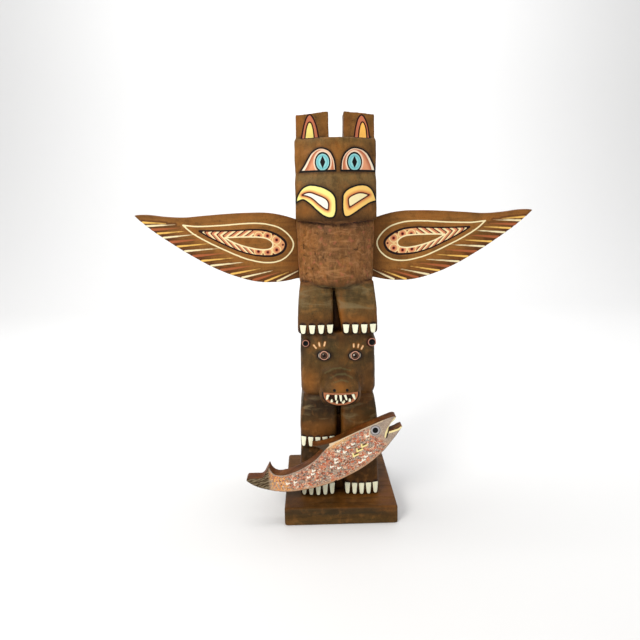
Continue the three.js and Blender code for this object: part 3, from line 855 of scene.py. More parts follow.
def smooth_loop(points, corners=(), steps=6):
    """A closed curve through the points, smooth everywhere but at the corners."""
    count = len(points)
    points = [np.array(p, dtype=float) for p in points]
    curve = []
    for i in range(count):
        j = (i + 1) % count
        before = points[i] if i in corners else points[i - 1]
        after = points[j] if j in corners else points[(j + 1) % count]
        for t in np.arange(steps) / steps:
            tangent_in = (points[j] - before) / 2
            tangent_out = (after - points[i]) / 2
            h1, h2, h3 = 2 * t**3 - 3 * t**2 + 1, 3 * t**2 - 2 * t**3, t**3 - 2 * t**2 + t
            h4 = t**3 - t**2
            curve.append(h1 * points[i] + h2 * points[j] + h3 * tangent_in + h4 * tangent_out)
    return np.array(curve)


def to_line(u, v, path):
    """The distance from each place to a line through points."""
    best = np.full(u.shape, FAR)
    for (u0, v0), (u1, v1) in zip(path, path[1:]):
        du, dv = u1 - u0, v1 - v0
        share = np.clip(((u - u0) * du + (v - v0) * dv) / (du * du + dv * dv + 1e-12), 0, 1)
        best = np.minimum(best, np.hypot(u - u0 - share * du, v - v0 - share * dv))
    return best


def to_lines(u, v, paths):
    return nearest(*(to_line(u, v, path) for path in paths))


def to_dots(u, v, centres):
    return nearest(*(np.hypot(u - centre[0], v - centre[1]) for centre in centres))


def to_outline(u, v, loop):
    """The distance from each place to a closed curve, negative inside it."""
    result = np.full(u.shape, FAR)
    low, high = loop.min(axis=0) - 12, loop.max(axis=0) + 12
    near = (u > low[0]) & (u < high[0]) & (v > low[1]) & (v < high[1])
    un, vn = u[near], v[near]
    distance = to_line(un, vn, list(loop) + [loop[0]])
    inside = np.zeros(un.shape, dtype=bool)
    for (u0, v0), (u1, v1) in zip(loop, np.roll(loop, -1, axis=0)):
        crosses = (v0 > vn) != (v1 > vn)
        if v0 != v1:
            inside ^= crosses & (un < (u1 - u0) * (vn - v0) / (v1 - v0) + u0)
    result[near] = np.where(inside, -distance, distance)
    return result


def to_oval(u, v, centre, half_u, half_v):
    """About the distance to an oval, negative inside."""
    share = np.hypot((u - centre[0]) / half_u, (v - centre[1]) / half_v)
    return (share - 1) * min(half_u, half_v)


def store(piece, name, values, most=FAR):
    """Keeps one number for each vertex with the mesh."""
    layer = piece.data.attributes.new(name=name, type="FLOAT", domain="POINT")
    layer.data.foreach_set("value", np.minimum(values, most).astype(np.float32))


# %% [markdown]
# The bird's face: an eye on each side of the forehead, a mouth corner on each side of the beak,
# and an arch on each horn. Left and right are drawn separately, because the real painter did not
# mirror them exactly.

# %% Outlines on the bird's face
# The eyes' outlines run on below the flat foot at which the eyes are cut off
EYE_FOOT = 354.5
EYE_LEFT = [(-41.6, 344), (-36, 352.6), (-31, 359.8), (-27.3, 366.4), (-23.7, 371.4), (-19, 374.6),
            (-14.5, 375.4), (-9.6, 374.2), (-5.7, 371.3), (-3.3, 367), (-1.7, 361.6), (-0.9, 353.2),
            (-0.7, 344)]
EYE_RIGHT = [(4.4, 344), (4.6, 353), (5.2, 361.5), (7, 367.4), (10.4, 372), (15, 375), (19.7, 375.6),
             (25.4, 374.4), (30.2, 371.5), (33.6, 367.2), (36.9, 361), (39.8, 353), (43.4, 343)]
BILL_LEFT = [(-40.6, 323), (-37.9, 330.5), (-33.6, 336.5), (-28.2, 339.2), (-23.2, 339.4), (-16.5, 337.9),
             (-10.3, 335.4), (-4.8, 331.5), (-1.8, 326.7), (-1.2, 320.3), (-1.5, 312.9), (-3.6, 308.4),
             (-7.7, 307.6), (-12.5, 309.3), (-18.1, 313.5), (-23.6, 318.9), (-28.4, 323.1), (-33, 325.7),
             (-36.8, 324.8)]
BILL_RIGHT = [(5.9, 325.1), (6.8, 330.7), (11.8, 335.5), (19.3, 338.4), (26.1, 339.2), (32.2, 337.6),
              (36.9, 332.4), (40.2, 323.7), (33.8, 322), (25.9, 317.6), (17.3, 312), (11.4, 308.8),
              (7.4, 309.3), (5.8, 315.4)]
GAPE_LEFT = [(-34, 330.2), (-30, 332), (-25.5, 332.2), (-19.7, 330), (-14.2, 327.6), (-10.2, 325),
             (-8.4, 321.1), (-8.9, 315.2), (-12.1, 316.7), (-18, 321.3), (-23.4, 326.2), (-28.4, 328.9)]
GAPE_RIGHT = [(11.6, 325.8), (17.5, 329.9), (24.3, 331.4), (32.6, 329.5), (22.5, 323.8), (12.4, 317.6)]
ARCH_LEFT = [(-33.9, 386), (-31.6, 398), (-28.6, 407), (-25.4, 410.4), (-22, 407), (-18.6, 398),
             (-16.5, 386)]
ARCH_RIGHT = [(19, 386), (20.8, 398), (23.4, 406.4), (26.6, 409.4), (29.8, 406.4), (32.8, 398), (34.6, 386)]
FILL_LEFT = [(-30.4, 386), (-29, 395.6), (-27.2, 401.4), (-25.4, 402.9), (-23.6, 401.4), (-22, 395.6),
             (-21, 386)]
FILL_RIGHT = [(23.3, 386), (24.4, 395.4), (26, 400.9), (27.6, 402.5), (29.3, 400.9), (31, 395.4),
              (31.9, 386)]
IRIS_LEFT = (-13.4, 362)
IRIS_RIGHT = (18.1, 361.9)
IRIS_HALVES = (6.6, 8.4)
PUPIL_HALVES = (2.5, 6)

x, y, z = corner_places(pole).T
behind = np.where(y > -18, FAR, 0)


def store_front(name, *distances):
    """Keeps the distance to the nearest of some forms, on the log's front only."""
    store(pole, name, nearest(*distances) + behind)


for name, left, left_corners, right, right_corners in (
        ("eye_rim", EYE_LEFT, (0, 12), EYE_RIGHT, (0, 12)),
        ("bill_rim", BILL_LEFT, (0,), BILL_RIGHT, (7,)),
        ("bill_gape", GAPE_LEFT, (0, 7), GAPE_RIGHT, (3, 5)),
        ("horn_arch", ARCH_LEFT, (0, 6), ARCH_RIGHT, (0, 6)),
        ("horn_fill", FILL_LEFT, (0, 6), FILL_RIGHT, (0, 6))):
    store_front(name, to_outline(x, z, smooth_loop(left, left_corners)),
                to_outline(x, z, smooth_loop(right, right_corners)))


def to_diamond(centre, half_u, half_v):
    return (np.abs(x - centre[0]) / half_u + np.abs(z - centre[1]) / half_v - 1) * half_u


store_front("iris", *(to_oval(x, z, centre, *IRIS_HALVES) for centre in (IRIS_LEFT, IRIS_RIGHT)))
store_front("pupil", *(to_diamond(centre, *PUPIL_HALVES) for centre in (IRIS_LEFT, IRIS_RIGHT)))
print("bird's face painted on", len(x), "vertices")

# %% [markdown]
# The bear's face: round eyes with a pink ring, each in a pale almond with a dark rim, three short
# brows over each, a ring in each ear, lips round the open mouth, and a few brushed wrinkles over
# the nose.

# %% Outlines on the bear's face
BEAR_EYES = ((-14.6, 167.5), (17.1, 166.8))
LID_HALVES = (7.2, 5.2)
BROWS = [((-24.9, 177.4), (-22.6, 174.7)), ((-19.6, 180.1), (-18.9, 176.7)),
         ((-13.4, 180.7), (-14.3, 177.3)), ((15.9, 178.3), (15.9, 175.4)), ((20.9, 177.6), (20.2, 174.6)),
         ((25.4, 175.5), (23.8, 172.9))]
GLINTS = ((-15.5, 169.0, 0.6), (15.9, 167.6, 0.9))
WRINKLES = [[(-14, 150.5), (-6, 154.5), (2, 155.4), (12, 152.6)],
            [(-9, 147.4), (-2, 150.4), (6, 150.4), (13, 147)], [(-6, 144), (2, 146.2), (9, 144.6)]]

store_front("bear_iris", to_dots(x, z, BEAR_EYES))
store_front("bear_lid", *(to_oval(x, z, centre, *LID_HALVES) for centre in BEAR_EYES))
store_front("bear_glint", *(np.hypot(x - u, z - v) - radius for u, v, radius in GLINTS))
store_front("bear_brow", to_lines(x, z, BROWS))
store_front("bear_wrinkle", to_lines(x, z, WRINKLES))
store_front("bear_ear", *(np.hypot(x - u, z - EAR_Z) / radius for u, radius in EARS))
mouth_share = np.hypot((x - FACE_X) / MOUTH_HALF, np.minimum(z - MOUTH_TOP, 0) / MOUTH_HEIGHT)
store_front("bear_mouth", (mouth_share - 1) * MOUTH_HEIGHT)
store_front("nostril", to_dots(x, z, [(FACE_X + s * NOSTRIL_SPREAD, NOSTRIL_Z) for s in (-1, 1)]))

claw_marks = []
for row in CLAW_ROWS:
    for side in (-1, 1):
        for toe_x, _ in toe_places(row, side):
            axis = ((toe_x, row["top"] - 1.5), (toe_x, row["top"] - row["height"] + 1.5))
            claw_marks.append(to_line(x, z, axis) - row["width"] * 0.42)
store_front("claw_edge", *claw_marks)
print("bear's face painted")

# %% [markdown]
# The stain isn't even either. Soft spots make places warmer and lighter or cooler and darker.
# Some are uneven stain, as from a rag or an airbrush. The others are painted light in the slots
# and on the lit left side, and painted shade on the right side and under the blocks that stand out.

# %% Spots of warmer and darker stain, and of painted light and shade
# Warm stain, and painted light in the slots and on the lit left side
WARM_STAIN_AND_LIGHT_SPOTS = [(-30, 139, 9, 13, 0.65), (1, 139.5, 7, 7, 0.8), (30, 138, 6, 14, 0.3), (-35, 370, 7, 15, 0.5),
              (-2, 374, 7, 10, 0.3), (18, 203.5, 16, 4, 0.45), (-20, 94, 18, 8, 0.5), (20, 92, 14, 8, 0.3),
              (-35, 402, 5, 8, 0.6), (-32, 314, 9, 7, 0.5), (33, 318, 8, 10, 0.2), (-31, 262, 9, 30, 0.35),
              (28, 216, 12, 8, 0.15), (11, 400, 4, 10, 0.4), (-11, 398, 4, 8, 0.3), (3, 208, 4, 24, 0.75),
              (2.5, 104, 3.5, 20, 0.6), (22, 255, 12, 8, 0.3), (-28, 288, 9, 7, 0.3),
              (22, 110, 12, 14, 0.25)]
# Dark stain, and painted shade on the right side and under the blocks that stand out
DARK_STAIN_AND_SHADE_SPOTS = [(1, 150, 13, 5, 0.9), (22, 150, 5, 26, 0.3), (34, 152, 8, 28, 0.5), (0, 185, 40, 4, 0.6),
              (-37, 172, 5, 9, 0.6), (0, 201, 42, 3, 0.45), (0, 305.5, 44, 3.5, 0.7), (0, 121, 42, 9, 0.5),
              (4, 326, 7, 20, 0.35), (35, 374, 7, 15, 0.35), (-26, 110, 14, 14, 0.5), (13, 404, 5, 12, 0.4),
              (2, 240, 42, 2.5, 0.6), (0, 351, 42, 1.6, 0.55), (0, 83.8, 42, 1.4, 0.5),
              (0, 31.7, 42, 1.4, 0.4), (34, 112, 7, 18, 0.1), (-14, 112, 10, 16, 0.3),
              (2, 300, 26, 4.5, 0.5), (36, 396, 4, 12, 0.4), (-8, 226, 7, 14, 0.35), (-20, 404, 6, 6, 0.2),
              (1, 166, 5, 12, 0.15), (-4, 222, 2, 20, 0.3), (38, 330, 5, 14, 0.3), (-38, 176, 4, 10, 0.4),
              (-9, 111, 5, 14, 0.4)]


def soft_spots(spots):
    total = np.zeros(x.shape)
    for u, v, half_u, half_v, strength in spots:
        total += strength * np.exp(-(((x - u) / half_u) ** 2) - ((z - v) / half_v) ** 2)
    return total * soft_step(10, -10, y)


store(pole, "warm_stain_and_light", soft_spots(WARM_STAIN_AND_LIGHT_SPOTS))
store(pole, "dark_stain_and_shade", soft_spots(DARK_STAIN_AND_SHADE_SPOTS))


def hollowness(piece, rounds):
    """How hollow the skin is round each vertex: more than 0 in a groove, less on an edge."""
    mesh = piece.data
    count = len(mesh.vertices)
    ends = np.empty(len(mesh.edges) * 2, dtype=int)
    mesh.edges.foreach_get("vertices", ends)
    a, b = ends.reshape(-1, 2).T
    normals = np.empty(count * 3)
    mesh.vertex_normals.foreach_get("vector", normals)
    normals = normals.reshape(-1, 3)
    shared = np.bincount(a, minlength=count) + np.bincount(b, minlength=count)
    points = corner_places(piece)

    def mean_round(values):
        total = np.bincount(a, values[b], count) + np.bincount(b, values[a], count)
        return total / np.maximum(shared, 1)

    smooth = points.copy()
    for _ in range(rounds):
        smooth = np.stack([mean_round(smooth[:, k]) for k in range(3)], axis=1)
    return ((smooth - points) * normals).sum(axis=1)


store(pole, "hollow", hollowness(pole, 12))
print("stain spots stored")

# %% [markdown]
# A wing's front carries a cream drop shape, a second one in black, and a third inside that, with
# a patterned band between the last two: chevrons at the point, slanted bars along the sides, and
# rings with a dot round the broad end. Seventeen brush strokes along the lower edge stand for
# feathers. Both wings are painted alike, so X is measured from the log outwards.

# %% Outlines on the wings
DROP_CREAM = [(161.5, 301.4), (146, 299.8), (120.7, 300.5), (99, 302), (82.6, 302.2), (70, 300.6),
              (58, 296.3), (49, 288.5), (44.8, 280.3), (47.3, 271.8), (54.3, 264.7), (63.5, 260.8),
              (75.5, 260.2), (88.5, 262.6), (101.3, 266.7), (126.5, 278.4), (139.5, 285.2), (152, 292.9)]
DROP_BLACK = [(144.6, 295), (120.7, 294.5), (101, 294.9), (84, 295.3), (72, 293.9), (60.7, 289.1),
              (53.5, 282.6), (52.9, 277), (57, 270.8), (66, 267.2), (77, 267.2), (90, 269.3), (104, 273.8),
              (120, 281.2), (135, 288.9)]
DROP_INNER = [(117.6, 287.4), (101, 287.7), (81.8, 287.3), (72.2, 285.3), (67, 280.6), (68.4, 275.8),
              (75, 274.1), (84, 274.9), (96, 277.7), (107.5, 281.9)]
RINGS = [(81.6, 288.5), (72.2, 288.7), (62.6, 284.2), (62.7, 273.5), (72.2, 271.2), (82.2, 272.2)]
SEEDS = [(77.5, 291.4), (66.5, 290.2), (56, 278.9), (65.9, 269.1), (76.9, 269.4)]
DROP_AXIS = (78, 281), (146, 295)
STROKES = 17
FIRST_STROKE_X = 204
SLOPE_NUMBERS = (0, 1, 4, 7, 10, 13, 16)
SLOPES = (-3, 2, 5, 4, 5, 12, 26)


def stroke_ends(number):
    """Where a feather stroke starts at the lower edge, and where it ends."""
    start_x = FIRST_STROKE_X - 4.2 * number - 0.29 * number**2
    edge = sorted([*WING_BOTTOM, WING_TOP[-1]])
    start_z = np.interp(start_x, [p[0] for p in edge], [p[1] for p in edge]) + 0.6
    length = 23 + 12 * math.sin(math.pi * (number + 1) / (STROKES + 1)) + 3 * (number % 3 == 1)
    slope = math.radians(np.interp(number, SLOPE_NUMBERS, SLOPES))
    return (start_x, start_z), (start_x - length * math.cos(slope), start_z + length * math.sin(slope))


def paint_wing(wing):
    x, y, z = corner_places(wing).T
    out = np.abs(x)
    behind = np.where(y > WING_FRONT + 1.2, FAR, 0)
    for name, drop in (("drop_cream", DROP_CREAM), ("drop_black", DROP_BLACK), ("drop_inner", DROP_INNER)):
        store(wing, name, to_outline(out, z, smooth_loop(drop, (0,))) + behind)
    store(wing, "ring", to_dots(out, z, RINGS))
    store(wing, "seed", to_dots(out, z, SEEDS))
    (u0, v0), (u1, v1) = DROP_AXIS
    axis_z = v0 + (v1 - v0) * (out - u0) / (u1 - u0)
    store(wing, "bars", out + 1.1 * np.abs(z - axis_z), most=300)
    best = np.full(out.shape, FAR)
    tone = np.zeros(out.shape)
    for number in range(STROKES):
        (u0, v0), (u1, v1) = stroke_ends(number)
        du, dv = u1 - u0, v1 - v0
        share = np.clip(((out - u0) * du + (z - v0) * dv) / (du * du + dv * dv), 0, 1)
        widest = 1.35 if number % 3 == 2 else 0.95
        away = np.hypot(out - u0 - share * du, z - v0 - share * dv) - widest * (1 - share) ** 0.8
        tone = np.where(away < best, number % 3, tone)
        best = np.minimum(best, away)
    store(wing, "stroke", best + behind)
    store(wing, "stroke_tone", tone)
    outline = smooth_loop(WING_OUTLINE, WING_SHARP, 4)
    store(wing, "board_edge", np.maximum(to_outline(out, z, outline), -20))


for wing in wings:
    paint_wing(wing)
print("wings painted:", STROKES, "strokes each")

# %% [markdown]
# The salmon is painted silver grey, with dense dabs of terracotta, pink and cream, gold and
# cream ticks, a ringed eye and an orange tail root. Its pattern follows the fish, so every
# vertex keeps how far along it lies from the tail, and how far up, in steps of 4 mm.

# %% Outlines on the salmon
GOLD_MARKS = [(120.7, -12.9), (114.6, -15.3), (109.2, -18.6)]
CREAM_MARKS = [(106.7, -8), (101.7, -11.2), (96.3, -7.8), (89.6, -17.7), (90.2, -24.3), (83.8, -20.2),
               (90.8, -14.7), (119.7, -23.7), (116, -26.1), (111.9, -27.1), (124.5, -21.9), (128.7, -4.7),
               (112.3, -6.8), (65.4, -17), (63.2, -19.9), (58.1, -21.4), (44, -21), (36.5, -19.4)]
FISH_STEP = 4
FISH_EYE = (139.7, -1.9)
UPPER_JAW = [(162.5, 2.1), (158, -0.9), (152.4, -4.8), (148.4, -8.7), (146.4, -12.1)]
LOWER_JAW = [(150.4, -9.2), (155.2, -9.8), (161.8, -10.1), (165.4, -9)]
FISH_SMILE = [(151.2, -8.4), (148.9, -11), (147.3, -13.4)]
GILL = [(134.9, 0.5), (133.2, -1.8), (132.2, -4.4)]
BACK_LINE = [(86, 0.5), (91, 0.8), (97.9, 2.8), (107.7, 3.5), (116.1, 4.2), (135.4, 5.2), (150, 5.2)]
FIN = [(72, 9), (92, 5), (91, 1.5), (83, -2), (78, 0)]
PELVIC_FIN = [(83.6, -35.4), (77, -38), (72.6, -39)]


def check_mark(corner, size=1.0):
    """A brush mark like a tick, that opens upwards and forwards."""
    u, v = corner
    return [(u + 0.9 * size, v + 3 * size), corner, (u + 6 * size, v + 0.3 * size)]


x, y, z = corner_places(salmon).T
dx, dz = x - FISH_TAIL[0], z - FISH_TAIL[1]
along = dx * math.cos(FISH_TILT) + dz * math.sin(FISH_TILT)
up = -dx * math.sin(FISH_TILT) + dz * math.cos(FISH_TILT)
store(salmon, "fish_along", np.maximum(along, -5) / FISH_STEP)
store(salmon, "fish_up", up / FISH_STEP)
store(salmon, "fish_edge", to_outline(along, up, smooth_loop(FISH_OUTLINE, FISH_SHARP, 4)))
for name, line in (("fish_belly", FISH_OUTLINE[1:12]), ("fish_back", BACK_LINE), ("fish_smile", FISH_SMILE),
                   ("fish_gill", GILL), ("fish_pelvic", PELVIC_FIN)):
    store(salmon, name, to_line(along, up, line))
gold_shades = [[(u + 1.4, v + 1.3), (u + 5, v + 1.5)] for u, v in GOLD_MARKS]
for name, lines in (("fish_gold", [check_mark(tip) for tip in GOLD_MARKS]),
                    ("fish_gold_shade", gold_shades),
                    ("fish_cream", [check_mark(tip, 0.5) for tip in CREAM_MARKS]),
                    ("fish_jaws", [UPPER_JAW, LOWER_JAW])):
    store(salmon, name, to_lines(along, up, lines))
store(salmon, "fish_eye", to_dots(along, up, [FISH_EYE]))
store(salmon, "fish_fin", to_outline(along, up, smooth_loop(FIN, range(5))))
print("salmon painted")

# %% [markdown]
# ## Finishes
# Every finish is a node material that reads the piece's own coordinates and the stored
# distances. A small helper keeps the recipes short: most of its calls add nodes and give back
# their output, while lay, fill and shade put a paint over what the piece has so far.


# %% A helper that writes materials
LIGHT = 0.8
SHEEN = 0.008


def srgb(r, g, b):
    """A paint that shows as this colour, 0 to 255, under these lights.

    The lights are a quarter brighter than a white paint needs, and the white room adds a little
    sheen to everything, so both are taken off.
    """
    linear = [c / 255 / 12.92 if c <= 10.3 else ((c / 255 + 0.055) / 1.055) ** 2.4 for c in (r, g, b)]
    return (*(max(0.002, LIGHT * c - SHEEN) for c in linear), 1)


class Finish:
    """Writes one node material, node by node."""

    def __init__(self, name, roughness=0.5):
        self.material = bpy.data.materials.new(name)
        self.material.use_nodes = True
        self.tree = self.material.node_tree
        self.shader = self.tree.nodes["Principled BSDF"]
        self.shader.inputs["Roughness"].default_value = roughness
        self.shader.inputs["Specular IOR Level"].default_value = 0.12
        self.place = self.node("TexCoord").outputs["Object"]

    def node(self, kind):
        return self.tree.nodes.new("ShaderNode" + kind)

    def set(self, socket, value):
        """Links an output, or types a number or a paint in."""
        if isinstance(value, bpy.types.NodeSocket):
            self.tree.links.new(value, socket)
        else:
            socket.default_value = srgb(*value) if isinstance(value, tuple) else value

    def read(self, name):
        """A number stored with the mesh."""
        node = self.node("Attribute")
        node.attribute_name = name
        return node.outputs["Fac"]

    def maths(self, kind, *values):
        node = self.node("Math")
        node.operation = kind
        for socket, value in zip(node.inputs, values):
            self.set(socket, value)
        return node.outputs[0]

    def times(self, first, second):
        return self.maths("MULTIPLY", first, second)

    def stretched(self, stretch, start=None):
        node = self.node("Mapping")
        node.inputs["Scale"].default_value = stretch
        self.set(node.inputs["Vector"], start or self.place)
        return node.outputs[0]

    def noise(self, scale, stretch=(1, 1, 1), detail=4, start=None, warp=0.0):
        node = self.node("TexNoise")
        node.inputs["Scale"].default_value = scale
        node.inputs["Detail"].default_value = detail
        node.inputs["Distortion"].default_value = warp
        self.set(node.inputs["Vector"], self.stretched(stretch, start))
        return node.outputs["Fac"]

    def cells(self, scale, stretch=(1, 1, 1), start=None):
        node = self.node("TexVoronoi")
        node.inputs["Scale"].default_value = scale
        self.set(node.inputs["Vector"], self.stretched(stretch, start))
        return node

    def axis(self, letter):
        node = self.node("SeparateXYZ")
        self.set(node.inputs[0], self.place)
        return node.outputs[letter]

    def range(self, value, low, high, out_low=0.0, out_high=1.0):
        node = self.node("MapRange")
        for socket, part in zip(node.inputs, (value, low, high, out_low, out_high)):
            self.set(socket, part)
        return node.outputs[0]

    def past(self, letter, start, end):
        """0 up to one place along an axis, in mm, and 1 from another."""
        return self.range(self.axis(letter), start * MM, end * MM)

    def ramp(self, value, stops, smooth="LINEAR"):
        node = self.node("ValToRGB")
        node.color_ramp.interpolation = smooth
        elements = node.color_ramp.elements
        while len(elements) < len(stops):
            elements.new(0.5)
        for element, (position, colour) in zip(elements, stops):
            element.position = position
            element.color = srgb(*colour)
        self.set(node.inputs[0], value)
        return node.outputs["Color"]

    def mix(self, share, below, above, blend="MIX"):
        node = self.node("Mix")
        node.data_type = "RGBA"
        node.blend_type = blend
        self.set(node.inputs[0], share)
        self.set(node.inputs[6], below)
        self.set(node.inputs[7], above)
        return node.outputs[2]

    def lay(self, share, paint, blend="MIX"):
        """Lays a paint over what the piece has so far."""
        self.coat = self.mix(share, self.coat, paint, blend)

    def inside(self, distance, edge, soft=0.3):
        """1 where a distance is under the edge, 0 beyond it."""
        return self.range(distance, edge + soft / 2, edge - soft / 2)

    def band(self, distance, low, high, soft=0.3):
        return self.times(self.inside(distance, high, soft),
                          self.range(distance, low - soft / 2, low + soft / 2))

    def fill(self, distance, edge, paint, soft=0.3, within=None):
        """Paints all that is nearer than the edge, or only its part within another share."""
        share = self.inside(distance, edge, soft)
        self.lay(share if within is None else self.times(within, share), paint)

    def shade(self, value, start, end, most, paint, within=None, blend="MIX"):
        """Lays a paint on softly, from none at one value to the most at another."""
        share = self.range(value, start, end, 0, most)
        self.lay(share if within is None else self.times(within, share), paint, blend)

    def level(self, bottom, top):
        """1 between two heights in mm, with soft ends."""
        return self.band(self.axis("Z"), bottom * MM, top * MM, 6 * MM)

    def brushed(self, name, wobble=0.5):
        """A stored distance with the small wobble of a hand-held brush."""
        shaken = self.maths("MULTIPLY_ADD", self.noise(260, detail=2), wobble, -wobble / 2)
        return self.maths("ADD", self.read(name), shaken)

    def bump(self, height, depth_mm, strength=1.0, below=None):
        node = self.node("Bump")
        node.inputs["Strength"].default_value = strength
        node.inputs["Distance"].default_value = depth_mm * MM
        self.set(node.inputs["Height"], height)
        if below is not None:
            self.set(node.inputs["Normal"], below)
        return node.outputs[0]

    def finish_off(self, colour, relief):
        self.set(self.shader.inputs["Base Color"], colour)
        self.set(self.shader.inputs["Normal"], relief)

    def give(self, piece):
        piece.data.materials.clear()
        piece.data.materials.append(self.material)


# %% [markdown]
# Stained wood is the ground of every piece: a base colour, cloudy patches where the rag left
# more or less stain, long fibres along the grain, and fine pores that also show in the gloss and
# in a slight relief.


# %% Stained wood
def stained_wood(finish, base, grain, patch=0.5, fibre=0.35):
    """Colours a finish as stained wood whose grain runs along the stretched axis."""
    cloud = finish.noise(28, detail=5, warp=0.6)
    finish.coat = base
    finish.shade(cloud, 0.54, 0.7, patch, (166, 104, 46))
    finish.shade(cloud, 0.47, 0.32, patch, (70, 62, 38))
    dabs = finish.noise(120, detail=3, warp=0.4)
    finish.shade(dabs, 0.53, 0.68, patch * 0.7, (176, 122, 68))
    finish.shade(dabs, 0.46, 0.33, patch * 0.8, (58, 44, 26))
    fibres = finish.noise(240, stretch=grain, detail=6, warp=0.3)
    finish.shade(fibres, 0.5, 0.68, fibre, (70, 44, 22), blend="MULTIPLY")
    finish.shade(fibres, 0.5, 0.32, fibre * 0.8, (204, 158, 100), blend="SOFT_LIGHT")
    grit = finish.noise(900, detail=2)
    finish.shade(grit, 0.54, 0.7, 0.35, (60, 40, 22), blend="MULTIPLY")
    finish.shade(grit, 0.46, 0.3, 0.3, (210, 170, 116), blend="SOFT_LIGHT")
    finish.set(finish.shader.inputs["Roughness"], finish.range(fibres, 0.3, 0.7, 0.46, 0.64))
    return finish.bump(grit, 0.1, 0.5, finish.bump(fibres, 0.3, 0.6))


# %% [markdown]
# The log's stain changes from block to block: dark and olive on the bear, redder on the chest,
# warm brown on beak, forehead and horns, with painted shade where one block stands back under
# another. Grooves are painted darker as shade, and edges are rubbed lighter.

# %% The log's finish
# Stain by height, with darker bands painted in as shade under the paws and along the beak's lower edge
LOG_STAINS_AND_SHADE = [(18, (86, 58, 32)), (52, (84, 58, 33)), (66, (62, 48, 31)), (72, (66, 48, 30)),
              (76, (96, 65, 36)), (90, (90, 62, 35)), (98, (74, 58, 37)), (123, (66, 54, 35)),
              (126, (100, 72, 41)), (152, (96, 72, 43)), (170, (94, 74, 46)), (188, (86, 68, 43)),
              (190, (88, 60, 35)), (208, (106, 76, 44)), (218, (108, 88, 56)), (238, (104, 84, 53)),
              (240, (132, 92, 58)), (300, (138, 96, 61)), (305, (104, 74, 42)), (318, (116, 82, 47)),
              (346, (122, 98, 62)), (350, (132, 104, 64)), (353, (130, 90, 48)), (356, (140, 97, 50)),
              (376, (134, 94, 50)), (383, (124, 94, 54)), (386, (118, 94, 58)), (389, (140, 97, 53)),
              (414, (124, 88, 47))]

log = Finish("stained_log")
shaken_z = log.maths("MULTIPLY_ADD", log.noise(55, detail=3), 5 * MM, log.axis("Z"))
height_share = log.range(shaken_z, 2.5 * MM, (HORN_TOP + 2.5) * MM)
block_stain_and_shade = log.ramp(height_share, [(height / HORN_TOP, paint) for height, paint in LOG_STAINS_AND_SHADE])
relief = stained_wood(log, block_stain_and_shade, (1, 1, 0.3), patch=0.4, fibre=0.3)
# The warm spots add stain and painted light, and the dark spots add stain and painted shade
log.shade(log.read("warm_stain_and_light"), 0, 1.2, 0.75, (168, 104, 46))
log.shade(log.read("dark_stain_and_shade"), 0, 1.2, 0.85, (44, 32, 20))
# Grooves are painted darker as shade, and edges are rubbed lighter
log.shade(log.read("hollow"), 0.12, 1.0, 0.85, (44, 28, 16))
log.shade(log.read("hollow"), -0.25, -1.0, 0.3, (176, 132, 80), blend="SOFT_LIGHT")

# The chest is scratched crosswise, with small red and dark specks
on_chest = log.level(242, 302)

scratches = log.noise(210, stretch=(0.2, 1, 1), detail=5, warp=0.8)
log.shade(scratches, 0.53, 0.66, 0.5, (178, 128, 86), on_chest)
log.shade(scratches, 0.47, 0.35, 0.5, (92, 66, 38), on_chest)
hatching = log.noise(300, stretch=(1, 1, 0.3), detail=3, warp=1.2)
log.shade(hatching, 0.56, 0.66, 0.28, (182, 134, 84), on_chest)
specks = log.noise(170, detail=3)
log.shade(specks, 0.59, 0.67, 0.5, (172, 100, 74), on_chest)
log.shade(specks, 0.36, 0.31, 0.75, (66, 46, 28), on_chest)
relief = log.bump(log.times(on_chest, scratches), 0.5, 0.6, relief)

# Fine pale and dark brush strokes run across the olive blocks
strokes = log.noise(130, stretch=(0.22, 1, 1), detail=5, warp=0.5)
olive = log.maths("MAXIMUM", log.level(214, 240), log.level(98, 122))
log.shade(strokes, 0.52, 0.64, 0.6, (132, 114, 82), olive)
log.shade(strokes, 0.47, 0.36, 0.6, (66, 54, 35), olive)
print("log's wood ready")

# %% [markdown]
# Paint goes on in the painter's order: the black outline first, then the bands inside it, each
# from its distance to the outline. The right-hand yellows, orange and white are painted a little
# more orange and darker, as painted shade on the side away from the key light.

# %% Paint on the log
BLACK = (30, 20, 14)
CREAM = (252, 240, 214)

# To the right of the middle, yellow, orange and white are painted darker and more orange, as painted shade
to_right = log.past("X", -4, 8)
yellow = log.mix(to_right, (254, 240, 146), (252, 206, 116))
orange = log.mix(to_right, (236, 160, 96), (228, 146, 84))

eye = log.brushed("eye_rim")
iris = log.brushed("iris", 0.3)
from_middle = log.maths("ABSOLUTE", log.maths("ADD", log.axis("X"), -2 * MM))
outer_corner = log.range(from_middle, 22 * MM, 36 * MM)
above_foot = log.past("Z", EYE_FOOT - 0.2, EYE_FOOT + 0.2)
near_foot = log.past("Z", EYE_FOOT - 4, EYE_FOOT - 1)

